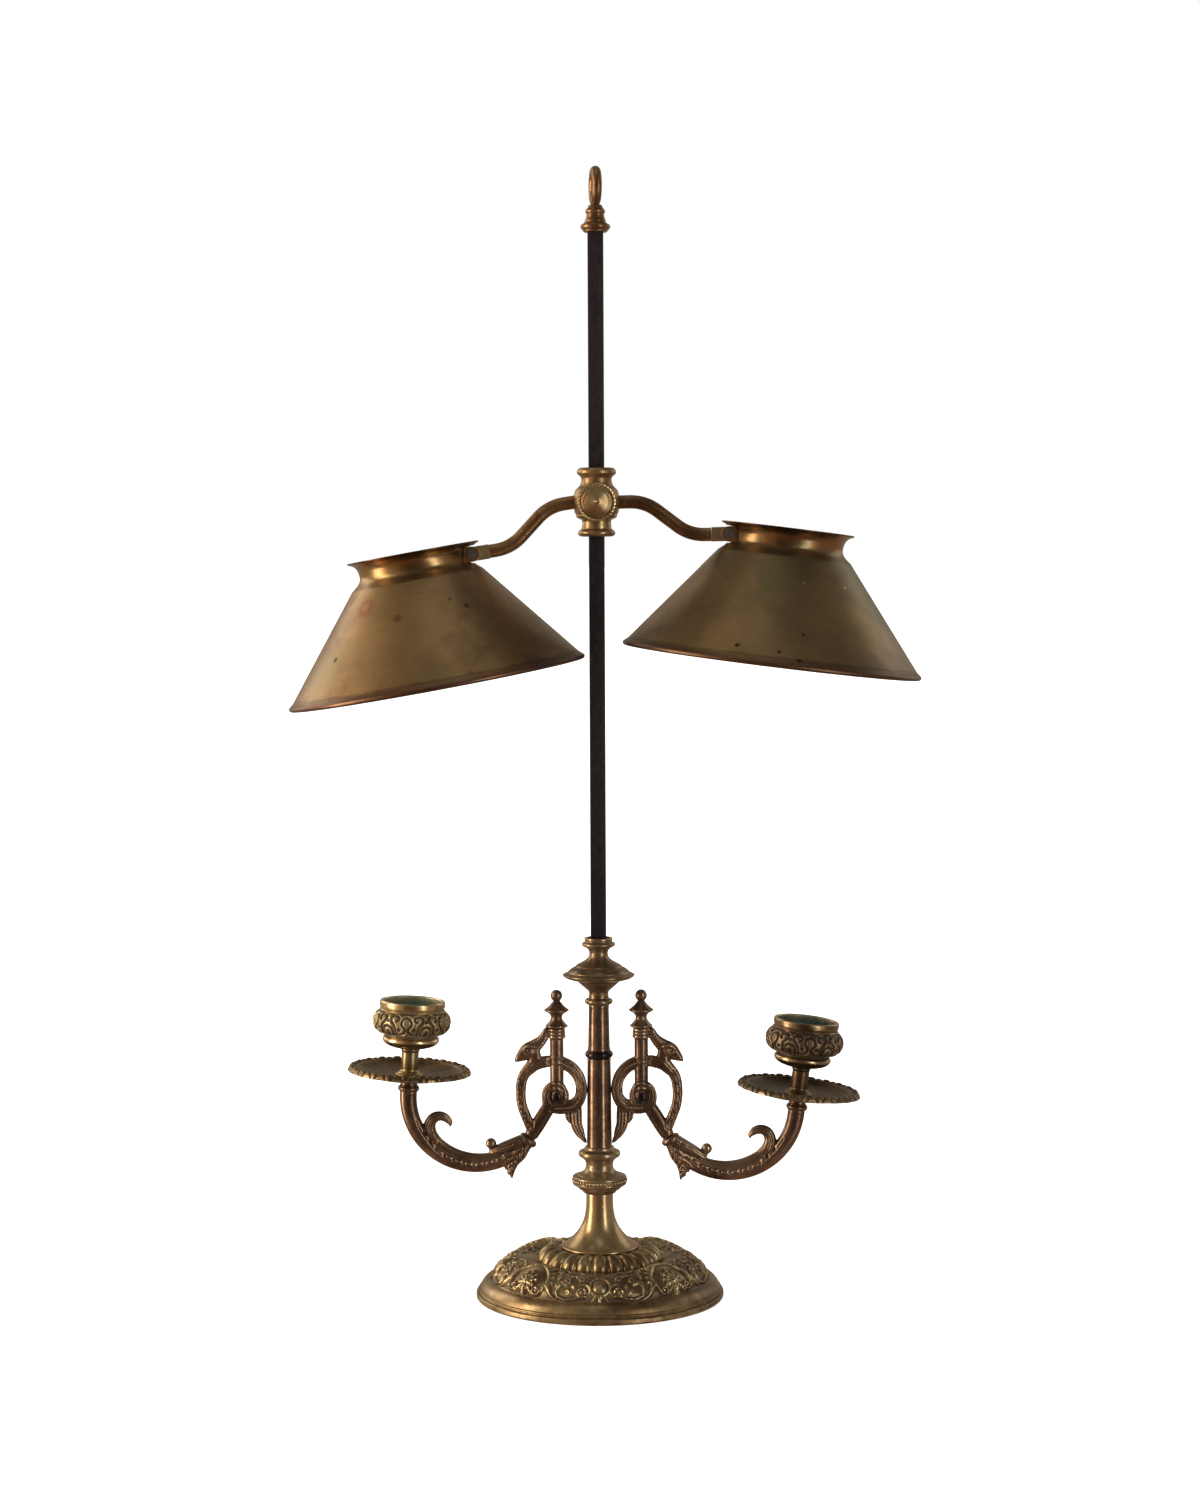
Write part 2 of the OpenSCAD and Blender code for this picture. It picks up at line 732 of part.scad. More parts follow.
module rivets(r, from, to) {
    for (s = [-1, 1])
        translate([0, 0, -neck_drop]) rotate([0, 0, 180 + s * rivet_a]) rotate([0, 90, 0])
            translate([0, 0, from]) cylinder(r = r, h = to - from);
}

module hinge_leaf(side) {
    web_x = barrel_r + web_gap;
    color(brass) shade_frame(side) difference() {
        union() {
            for (s = [-1, 1])
                translate([0, s * (ear_y + leaf_t / 2), 0]) plate(leaf_t) union() {
                    circle(barrel_r);
                    translate([0, -barrel_r]) square([web_x + leaf_t, 2 * barrel_r]);
                }
            translate([web_x, -ear_y - leaf_t, -barrel_r]) cube([leaf_t, 2 * (ear_y + leaf_t), 2 * barrel_r]);
            shade_centre() translate([0, 0, -neck_drop - wing_h / 2]) for (s = [-1, 1])
                rotate([0, 0, 180 + s * (wing_a[0] + wing_a[1]) / 2 - (wing_a[1] - wing_a[0]) / 2])
                    rotate_extrude(angle = wing_a[1] - wing_a[0])
                        translate([wing_r - wing_t, 0]) square([wing_t, wing_h]);
        }
        y_rod(pin_r, -barrel_l, barrel_l);
        shade_centre() rivets(rivet_r, wing_r - 3, wing_r + 3);
    }
}

module hinge_rivets(side) {
    color(brass) shade_frame(side) shade_centre() union() {
        rivets(rivet_r, wing_r - rivet_seat, wing_r + sheet_t);
        rivets(rivet_r + 0.7, wing_r - rivet_seat - 0.8, wing_r - rivet_seat);
    }
}

// Profile of the lip, the neck and the start of the cone, as [radius, height] below the lip
function shade_profile(inset) = concat(
    [[lip_d / 2 - inset, 0]],
    [for (i = [1:6]) let (t = i / 6)
        [shade_neck_r + (lip_d - shade_neck_d) / 2 * pow(1 - t, 2) - inset, -neck_drop * t]],
    [for (i = [1:4]) let (t = i / 4)
        [shade_neck_r + shoulder_w * pow(t, 1.6) - inset * (1 + t * (cone_w / sheet_t - 1)),
         -neck_drop - shoulder_h * t]]);

module shade(side) {
    edge = shade_d / 2 - roll_d / 2;
    edge_z = -shade_h + roll_d / 2;
    inner = shade_profile(sheet_t);
    color(brass) shade_frame(side) difference() {
        shade_centre() union() {
            rotate_extrude() polygon(concat(shade_profile(0),
                [[edge + cone_w / 2, edge_z], [edge - cone_w / 2, edge_z]],
                [for (i = [len(inner) - 1:-1:0]) inner[i]]));
            translate([0, 0, edge_z]) torus(edge, roll_d / 2);
        }
        y_rod(notch_r, -shade_neck_r, shade_neck_r);
        translate([0, -ear_y - leaf_t - 0.3, -notch_r]) cube([notch_r + 2.2, 2 * (ear_y + leaf_t + 0.3), 2 * notch_r]);
        shade_centre() rivets(rivet_r, wing_r - 3, wing_r + 3);
        shade_centre() translate([0, 0, edge_z]) torus(edge, wire_r + wire_gap);
    }
}

module rim_wire(side) {
    color(steel) shade_frame(side) shade_centre()
        translate([0, 0, -shade_h + roll_d / 2]) torus(shade_d / 2 - roll_d / 2, wire_r);
}

// ---- scroll brackets ----

// Frame of the candle arm: origin at the root ring's centre
module candle_frame(side) {
    raise = side == LEFT ? raise_left : raise_right;
    on_side(side) translate([knuckle_x, 0, knuckle_z]) rotate([0, -raise, 0]) children();
}

// The candle frame turned so that Z runs along the arm where it leaves its root
module root_frame(side) {
    candle_frame(side) rotate([0, sweep_a, 0]) children();
}

module bracket_outline() {
    inner_r = scroll_r - scroll_w;
    // ring, open below where the volute and the strut take over
    difference() {
        circle(scroll_r);
        circle(inner_r);
        translate([-scroll_r, -scroll_r - 1]) square([2 * scroll_r, scroll_r - 1]);
    }
    // lower lobe of the scroll, running into the volute
    difference() {
        translate(lobe) circle(lobe_r);
        intersection() {
            circle(inner_r);
            translate([-scroll_r, -4.6]) square(2 * scroll_r);
        }
    }
    translate(eye) circle(volute_r);
    // feathered breast running down to the strut
    polygon([[scroll_r - 0.1, -2], [scroll_r - 0.2, -5], [15.9, -12.4], [13.2, -19.6], [9, -22], [7, -18],
             [9.1, -15.1], [12.2, -7.6], [inner_r, -2]]);
    // strut
    translate(knuckle) rotate(180 - sweep_a + 90) translate([-1, -strut_w / 2]) square([20, strut_w]);
    // head, beak and neck of the bird
    translate(head_at) circle(head_r);
    polygon([[15.2, 22], [17.6, 19.2], [19.2, 14.9], [13, 14.2], [13, 11]]);
    polygon([[12, 23.8], [8.4, 25.2], [5.4, 28.8], [4.2, pillar_top + capital_h], [0, pillar_top + capital_h],
             [1, 24.3], [5.4, 22.8], [6.4, 20], [5, 17.9], [0, 17.6], [0, 13.8], [13.4, 11.9], [15, 20]]);
    // fluted leaf that reaches the foot of the column
    difference() {
        translate([-22.5, -13.5]) circle(15.2);
        translate([-29, -14.5]) circle(14.4);
        translate([-50, -9]) square([60, 30]);
        translate([-60 - scroll_r - bite, -40]) square([60, 60]);
    }
}

module bracket_screw_hole() {
    translate([tie_r + 0.5, 0, ring_z]) rotate([0, 90, 0]) cylinder(d = bracket_screw_d, h = ring_x);
}

module bracket(side) {
    color(dark_bronze) difference() {
        on_side(side) difference() {
            union() {
                translate([ring_x, 0, ring_z]) plate(bracket_t) bracket_outline();
                translate([ring_x + eye[0], 0, ring_z + eye[1]]) {
                    cylinder(d = pillar_d, h = pillar_top - eye[1]);
                    y_rod(eye_r, -bracket_t / 2 - 0.8, bracket_t / 2 + 0.8);
                    for (i = [0:2])
                        translate([0, 0, pillar_top - eye[1] + capital_h * (0.5 + i) / 3])
                            torus(capital_d / 2 - capital_h / 6, capital_h / 6);
                    translate([0, 0, pillar_top - eye[1]])
                        cylinder(r = capital_d / 2 - capital_h / 6, h = capital_h);
                }
            }
            column_outside();
            bracket_screw_hole();
            translate([screw_seat, 0, ring_z]) rotate([0, 90, 0])
                cylinder(r = bracket_screw_d + 0.1, h = screw_head_h);
            translate([ring_x + eye[0], 0, ring_z + pillar_top + capital_h - 4]) cylinder(d = stud_d, h = 5);
        }
        root_frame(side) translate([0, 0, -knuckle_t / 2]) cylinder(r = knuckle_d, h = 30);
        root_frame(side) translate([0, 0, -10]) cylinder(d = stud_d, h = 12);
    }
}

module bracket_finial(side) {
    z = ring_z + pillar_top + capital_h;
    ball_r = 3.1;
    body = [[0.3, 0], [0.86, 0.02], [0.9, 0.08], [0.3, 0.17], [0.2, 0.25], [0.3, 0.32], [0.96, 0.42],
            [1, 0.45], [0.4, 0.56], [0.06, 0.64], [0, 0.7]];
    color(dark_bronze) on_side(side) translate([ring_x + eye[0], 0, z]) union() {
        rotate_extrude() polygon(concat([[0, 0]],
            moulding(body, 1.8, spire_d / 2, 0, spire_h), [[0, 0.7 * spire_h]]));
        translate([0, 0, spire_h - ball_r]) sphere(ball_r);
        translate([0, 0, -4]) cylinder(d = stud_d, h = 5);
    }
}

module bracket_screw(side) {
    color(steel) on_side(side) translate([0, 0, ring_z]) rotate([0, 90, 0]) union() {
        translate([0, 0, tie_r + 0.5]) cylinder(d = bracket_screw_d, h = screw_seat - tie_r);
        translate([0, 0, screw_seat]) cylinder(r = bracket_screw_d, h = screw_head_h);
    }
}

// ---- candle arms ----

module arm_joint_ring(side) {
    edge = knuckle_t / 2;
    color(dark_bronze) root_frame(side) difference() {
        union() {
            torus(knuckle_d / 2 - edge, edge);
            translate([0, 0, -edge]) cylinder(r = knuckle_d / 2 - edge, h = knuckle_t);
        }
        translate([0, 0, -knuckle_t]) cylinder(d = stud_d, h = 2 * knuckle_t);
    }
}

// Leaf that clasps the arm where it leaves the ring
module root_leaf() {
    plate(candle_arm_d - 1) polygon([[3.2, 1.2], [9, 0.2], [17.4, -5.6], [19.4, -9.6], [15.4, -15.2],
        [11.4, -13.4], [8.4, -17], [6.4, -20.4], [4.4, -14], [-0.6, -4.4]]);
}

module candle_arm(side) {
    branch_end = [branch_sweep * cos(curl_at), branch_sweep * sin(curl_at)];
    curl_c = [sweep_c[0] + branch_end[0] - curl_r * cos(curl_at),
              sweep_c[1] + branch_end[1] - curl_r * sin(curl_at)];
    start_a = sweep_a - 180;
    color(dark_bronze) difference() {
        union() {
            root_frame(side) translate([0, 0, -9]) cylinder(d = stud_d, h = 12);
            candle_frame(side) {
                translate([sweep_c[0], 0, sweep_c[1]]) {
                    bend(sweep_r, candle_arm_r, -sweep_a, 0);
                    bend(branch_sweep, branch_r, -88, curl_at);
                }
                translate([curl_c[0], 0, curl_c[1]]) {
                    bend(curl_r, branch_r, curl_at, curl_end);
                    for (a = [curl_at, curl_end])
                        translate([curl_r * cos(a), 0, curl_r * sin(a)]) sphere(branch_r + 0.15);
                }
                translate([arm_x, 0, sweep_c[1]]) straight(candle_arm_r, arm_top_l - joint_lap);
                translate([18.6, 0, -3.4]) sphere(2.3);
                translate([18.8, 0, -9]) cylinder(r = 1.4, h = 5);
                root_leaf();
            }
        }
        difference() {
            root_frame(side) translate([0, 0, knuckle_t / 2 - 12]) cylinder(r = 2 * knuckle_d, h = 12);
            root_frame(side) translate([0, 0, -9]) cylinder(d = stud_d, h = 12);
        }
        candle_frame(side) translate([arm_x, 0, arm_top - 6]) cylinder(d = cup_screw_d, h = 7);
    }
}

module arm_collar(side) {
    bead_r = 1.6;
    color(dark_bronze) candle_frame(side) translate([arm_x, 0, arm_top]) difference() {
        union() {
            translate([0, 0, bead_r]) torus(candle_arm_r + 1.2 - bead_r, bead_r);
            cylinder(r = candle_arm_r + 0.2, h = arm_collar_h);
        }
        translate([0, 0, -1]) cylinder(d = cup_screw_d, h = arm_collar_h + 2);
    }
}

module drip_pan(side) {
    r = pan_d / 2;
    lobe_r = PI * r / scallops;
    lobe_at = r - lobe_r;
    rim_t = 1.8;
    lap = 0.5;
    color(dark_bronze) candle_frame(side) translate([arm_x, 0, pan_z]) difference() {
        union() {
            rotate_extrude() polygon([
                [0, 0], [r * 0.55, 0], [r * 0.82, pan_h * 0.3], [lobe_at - lap, pan_h - rim_t],
                [lobe_at - lap, pan_h], [lobe_at - 2 * pan_t, pan_h - lap],
                [r * 0.78, pan_h * 0.3 + pan_t], [r * 0.52, pan_t], [0, pan_t]]);
            translate([0, 0, pan_h - rim_t]) linear_extrude(rim_t) difference() {
                union() {
                    circle(lobe_at + lap);
                    for (i = [0:scallops - 1])
                        rotate(360 * i / scallops) translate([lobe_at, 0]) circle(lobe_r);
                }
                circle(lobe_at - 2 * lap);
            }
        }
        translate([0, 0, -1]) cylinder(d = cup_screw_d, h = pan_h + 2);
    }
}

module cup_stem(side) {
    r = stem_d / 2;
    foot_t = 1;
    color(brass) candle_frame(side) translate([arm_x, 0, stem_z])
        turned([[r + 2.6, 0], [r + 2.6, foot_t], [r + 0.9, foot_t + 0.8], [r, foot_t + 2], [r, stem_h]],
            cup_screw_d / 2);
}

module candle_cup(side) {
    r = cup_d / 2;
    saucer_r = 14.5;
    rim_r = candle_d / 2 + 1.6;
    body = concat(
        [[stem_d / 2 + 1, 0], [9, 1.4], [12.6, 3.2], [saucer_r, 4.6], [saucer_r, 5.6], [saucer_r - 1.2, 6.4],
         [saucer_r - 0.6, 7.4]],
        arc([r - 6.4, cup_h - 10.9], 6.4, -62, 62, 10),
        [[rim_r, cup_h - 3.9], [rim_r, cup_h]]);
    petal_t = 0.7;
    color(brass) candle_frame(side) translate([arm_x, 0, cup_z]) difference() {
        union() {
            rotate_extrude() polygon(concat([[0, 0]], body, [[0, cup_h]]));
            for (i = [0:petals - 1])
                rotate([0, 0, 360 * (i + 0.15) / petals]) rotate_extrude(angle = 252 / petals)
                    polygon(concat(arc([r - 6.4, cup_h - 10.9], 6.4 + petal_t, -52, 52, 8),
                        [[r - 6.4, cup_h - 10.9]]));
        }
        translate([0, 0, candle_floor]) cylinder(d = candle_d, h = candle_depth + 1);
        translate([0, 0, candle_floor - cup_head_h - cup_head_room])
            cylinder(r = cup_head_r + cup_head_room, h = cup_head_h + 1);
        translate([0, 0, -1]) cylinder(d = cup_screw_d, h = cup_h);
    }
}

module cup_screw(side) {
    head_z = cup_z + candle_floor - cup_head_h - cup_head_room;
    color(steel) candle_frame(side) translate([arm_x, 0, 0]) union() {
        translate([0, 0, arm_top - 6]) cylinder(d = cup_screw_d, h = head_z - arm_top + 6);
        translate([0, 0, head_z]) cylinder(r = cup_head_r, h = cup_head_h);
    }
}

base_shell();
gadroon_ring();
trumpet_foot();
lower_knop();
lower_column();
column_mid_ring();
upper_column();
column_top_ring();
upper_knop();
centre_rod();
tie_washer();
tie_nut();
rod_finial();
finial_ring();
slider_collar();
slider_boss();
friction_spring();
clamp_shoe();
clamp_screw();
shade_arm(LEFT);  // shade_arm_left
shade_arm(RIGHT);  // shade_arm_right
hinge_block(LEFT);  // hinge_block_left
hinge_block(RIGHT);  // hinge_block_right
hinge_pin(LEFT);  // hinge_pin_left
hinge_pin(RIGHT);  // hinge_pin_right
hinge_leaf(LEFT);  // hinge_leaf_left
hinge_leaf(RIGHT);  // hinge_leaf_right
hinge_rivets(LEFT);  // hinge_rivets_left
hinge_rivets(RIGHT);  // hinge_rivets_right
shade(LEFT);  // shade_left
shade(RIGHT);  // shade_right
rim_wire(LEFT);  // rim_wire_left
rim_wire(RIGHT);  // rim_wire_right
bracket(LEFT);  // bracket_left
bracket(RIGHT);  // bracket_right
bracket_finial(LEFT);  // bracket_finial_left
bracket_finial(RIGHT);  // bracket_finial_right
bracket_screw(LEFT);  // bracket_screw_left
bracket_screw(RIGHT);  // bracket_screw_right
arm_joint_ring(LEFT);  // arm_joint_ring_left
arm_joint_ring(RIGHT);  // arm_joint_ring_right
candle_arm(LEFT);  // candle_arm_left
candle_arm(RIGHT);  // candle_arm_right
arm_collar(LEFT);  // arm_collar_left
arm_collar(RIGHT);  // arm_collar_right
drip_pan(LEFT);  // drip_pan_left
drip_pan(RIGHT);  // drip_pan_right
cup_stem(LEFT);  // cup_stem_left
cup_stem(RIGHT);  // cup_stem_right
candle_cup(LEFT);  // candle_cup_left
candle_cup(RIGHT);  // candle_cup_right
cup_screw(LEFT);  // cup_screw_left
cup_screw(RIGHT);  // cup_screw_right
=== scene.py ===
"""Bouillotte lamp: cast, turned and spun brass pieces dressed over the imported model."""

import math

import bmesh
import bpy
import numpy as np
from mathutils import Matrix, Vector


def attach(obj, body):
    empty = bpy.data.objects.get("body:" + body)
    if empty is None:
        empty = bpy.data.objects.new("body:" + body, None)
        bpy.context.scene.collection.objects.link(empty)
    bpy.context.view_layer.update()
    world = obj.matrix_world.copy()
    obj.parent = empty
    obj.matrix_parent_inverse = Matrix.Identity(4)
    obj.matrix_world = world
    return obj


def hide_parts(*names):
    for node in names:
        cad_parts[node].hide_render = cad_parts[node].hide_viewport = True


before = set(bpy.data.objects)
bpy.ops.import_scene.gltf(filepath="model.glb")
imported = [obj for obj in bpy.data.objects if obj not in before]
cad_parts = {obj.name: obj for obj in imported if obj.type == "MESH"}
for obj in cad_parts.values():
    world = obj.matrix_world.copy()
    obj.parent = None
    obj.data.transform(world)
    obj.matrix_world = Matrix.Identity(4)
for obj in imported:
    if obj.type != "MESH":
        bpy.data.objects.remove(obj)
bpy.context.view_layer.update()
MM = 0.001
RNG = np.random.default_rng(7)

# ---- where things are, in millimetres, as in the part's source ----

BASE_R, RIM_H, BAND_W = 63.5, 3.6, 5.5
DOME_C, DOME_R, DOME_FROM, DOME_TO = (39.97, 2.544), 17.5, 22.0, 120.0
CROWN_H, CROWN_EDGE = 17.7, 31.22
GADROON_R, GADROON_H, GADROONS = 30.42, 7.3, 22
FOOT_Z, FOOT_H, FOOT_R, NECK_R = 25.0, 28.1, 20.0, 6.9
TIE_HOLE_R = 3.15
LOWER_KNOP_Z, LOWER_KNOP_H, LOWER_KNOP_R = 53.1, 24.1, 14.2
COLUMN_Z, COLUMN_H = 77.2, 45.4
MID_RING_Z, UPPER_COLUMN_Z, UPPER_COLUMN_H = 122.6, 127.2, 23.2
TOP_RING_Z, KNOP_Z, KNOP_H, KNOP_TOP = 150.4, 155.8, 29.2, 185.0
ROD_W, ROD_TOP = 8.0, 541.4
SLIDER_Z, COLLAR_Z, COLLAR_H = 406.3, 388.9, 34.8
BOSS_REACH, BOSS_R = 13.6, 7.8
HINGE_X, BEND_Z = 54.3646, 17.6579
LEAD_L, BEND_R, BEND_A, MID_L, TAIL_L = 5.0, 22.0, 38.5, 13.0, 3.0
BARREL_R, BARREL_L, BLOCK_L, BLOCK_H = 3.8, 21.8, 6.2, 7.3
PIVOT_R, PIVOT_DROP = 29.8, 6.3
LIP_R, SHADE_NECK_R, NECK_DROP, SHADE_R, SHADE_H, SHEET, ROLL_R = 33.8, 28.75, 8.0, 76.2, 68.2, 0.8, 1.3
RING_X, RING_Z = 23.53, 106.4
KNUCKLE = (13.0, -25.8)
SWEEP_R, SWEEP_A, SWEEP_C = 34.6, 143.4, (27.777, 20.629)
ARM_X, ARM_TOP, PAN_Z, STEM_Z, CUP_Z, CUP_H = 62.3775, 22.23, 29.63, 30.63, 44.13, 25.2
CANDLE_R, CANDLE_FLOOR = 15.0, 9.2
PAN_R, PAN_H = 32.2, 5.0


def shift(x, y, z):
    return Matrix.Translation((x, y, z))


def lean(degrees):
    return Matrix.Rotation(math.radians(degrees), 4, "Y")


def spin(degrees):
    return Matrix.Rotation(math.radians(degrees), 4, "Z")


CENTRE = Matrix.Identity(4)
HANDED = {"left": Matrix.Diagonal((-1, 1, 1, 1)), "right": Matrix.Identity(4)}
DROOP = {"left": 8.9, "right": -1.5}
TILT = {"left": 10.2, "right": 7.2}
RAISE = {"left": 3.1, "right": -6.5}


def shade_arm_place(side):
    return HANDED[side] @ shift(11.7, 0, SLIDER_Z) @ lean(DROOP[side])


def hinge_place(side):
    return shade_arm_place(side) @ shift(HINGE_X, 0, -BEND_Z)


def shade_place(side):
    """Origin at the centre of the shade's lip, Z along its axis."""
    return hinge_place(side) @ lean(TILT[side] - DROOP[side]) @ shift(PIVOT_R, 0, PIVOT_DROP)


def bracket_place(side):
    """Origin at the scroll ring's centre."""
    return HANDED[side] @ shift(RING_X, 0, RING_Z)


def candle_place(side):
    """Origin at the candle arm's root ring."""
    return bracket_place(side) @ shift(KNUCKLE[0], 0, KNUCKLE[1]) @ lean(-RAISE[side])


# ---- outlines ----


def arc(centre, radius, start, end, count=8):
    turn = np.radians(np.linspace(start, end, count + 1))
    return [(centre[0] + radius * math.cos(a), centre[1] + radius * math.sin(a)) for a in turn]


def eased(points, radius, closed=False, cuts=3):
    """A turned outline with each corner rounded off by up to `radius`."""
    rows = [np.array(p, float) for p in points]
    made = []
    for i, here in enumerate(rows):
        if not closed and i in (0, len(rows) - 1):
            made.append(here)
            continue
        before, after = rows[i - 1], rows[(i + 1) % len(rows)]
        a, b = np.linalg.norm(before - here), np.linalg.norm(after - here)
        if min(a, b) < 1e-6:
            continue
        reach = min(radius, 0.45 * a, 0.45 * b)
        start, end = here + (before - here) * reach / a, here + (after - here) * reach / b
        for t in np.linspace(0, 1, cuts + 1):
            made.append((1 - t) ** 2 * start + 2 * t * (1 - t) * here + t * t * end)
    return np.array(made)


def through(points, steps=8):
    """A smooth run through rows of numbers, each row a place with its sizes."""
    p = np.array(points, float)
    p = np.vstack([2 * p[0] - p[1], p, 2 * p[-1] - p[-2]])
    rows = []
    for i in range(1, len(p) - 2):
        a, b, c, d = p[i - 1], p[i], p[i + 1], p[i + 2]
        for t in np.linspace(0, 1, steps, endpoint=False):
            rows.append(0.5 * (2 * b + (c - a) * t + (2 * a - 5 * b + 4 * c - d) * t * t
                               + (3 * b - a - 3 * c + d) * t ** 3))
    rows.append(p[-2])
    return np.array(rows)


# ---- closed shells, as (points in millimetres, faces) ----


def sheet_faces(rows, columns, wrap_rows=False, wrap_columns=True):
    r = np.arange(rows if wrap_rows else rows - 1)[:, None]
    c = np.arange(columns if wrap_columns else columns - 1)[None, :]
    r2, c2 = (r + 1) % rows, (c + 1) % columns
    grid = [r * columns + c, r * columns + c2, r2 * columns + c2, r2 * columns + c]
    return np.stack([g + 0 * grid[0] for g in grid], -1).reshape(-1, 4)


def turned(outline, steps=128, loop=True):
    """A piece off the lathe, from an outline of (radius, height)."""
    p = np.array(outline, float)
    turn = np.linspace(0, 2 * np.pi, steps, endpoint=False)
    points = np.stack([p[:, :1] * np.cos(turn), p[:, :1] * np.sin(turn), p[:, 1:2] + 0 * turn], -1)
    return points.reshape(-1, 3), sheet_faces(len(p), steps, wrap_rows=loop)


def bored(outline, bore, steps=128, soft=0.35):
    """A turned piece around a bore, its outline given from bottom to top."""
    body = eased([(bore, outline[0][1])] + list(outline) + [(bore, outline[-1][1])], soft)
    return turned(body, steps)


def solid(outline, steps=96, soft=0.35):
    """A turned piece without a bore."""
    body = eased([(0, outline[0][1])] + list(outline) + [(0, outline[-1][1])], soft)
    return turned(body, steps, loop=False)


def torus(major, minor, height=0.0, steps=128, sides=14):
    return turned([(major + r, height + z) for r, z in arc((0, 0), minor, 0, 360, sides)[:-1]], steps)


def drawn(path, squareness=2.0, sides=18, closed=False):
    """A bar drawn along a path in the XZ plane, its rows (x, z, half width, half depth)."""
    p = np.array(path, float)
    if closed:
        along = np.roll(p[:, :2], -1, 0) - np.roll(p[:, :2], 1, 0)
    else:
        along = np.gradient(p[:, :2], axis=0)
    along /= np.linalg.norm(along, axis=1)[:, None] + 1e-9
    if not closed:
        caps = []
        for row, way, sign in ((p[0], along[0], -1), (p[-1], along[-1], 1)):
            cap = []
            for k in (30, 60, 85, 90):
                s, c = math.sin(math.radians(k)), math.cos(math.radians(k))
                reach = min(row[2], row[3]) * s * sign
                grow = 0.0 if k == 90 else c
                cap.append([row[0] + way[0] * reach, row[1] + way[1] * reach, row[2] * grow, row[3] * grow])
            caps.append((cap[::-1] if sign < 0 else cap, way))
        p = np.vstack([caps[0][0], p, caps[1][0]])
        along = np.vstack([[caps[0][1]] * 4, along, [caps[1][1]] * 4])
    turn = np.linspace(0, 2 * np.pi, sides, endpoint=False)
    power = 2.0 / squareness
    c = np.sign(np.cos(turn)) * np.abs(np.cos(turn)) ** power
    s = np.sign(np.sin(turn)) * np.abs(np.sin(turn)) ** power
    x = p[:, :1] - along[:, 1:2] * p[:, 2:3] * c
    z = p[:, 1:2] + along[:, :1] * p[:, 2:3] * c
    y = p[:, 3:4] * s
    points = np.stack([x, y, z], -1).reshape(-1, 3)
    return points, sheet_faces(len(p), sides, wrap_rows=closed)


def ball(x, z, radius, depth=None, y=0.0):
    rows = [(radius * math.sin(a), -radius * math.cos(a)) for a in np.linspace(0, np.pi, 13)]
    points, faces = turned(rows, 24, loop=False)
    points = points * [1, (depth or radius) / radius, 1] + [x, y, z]
    return points, faces


def moved(shell, place):
    points, faces = shell
    m = np.array(place)
    return points @ m[:3, :3].T + m[:3, 3], faces


def across(shell, x=0.0, z=0.0, y=0.0):
    """A turned shell laid over, so that its axis points to the front."""
    return moved(shell, shift(x, y, z) @ Matrix.Rotation(math.radians(90), 4, "X"))


def joined(shells):
    points, faces, start = [], [], 0
    for p, f in shells:
        points.append(p)
        faces += [[int(i) + start for i in face] for face in f]
        start += len(p)
    return np.vstack(points), faces


# ---- raised work, drawn as strokes on a flat sheet ----


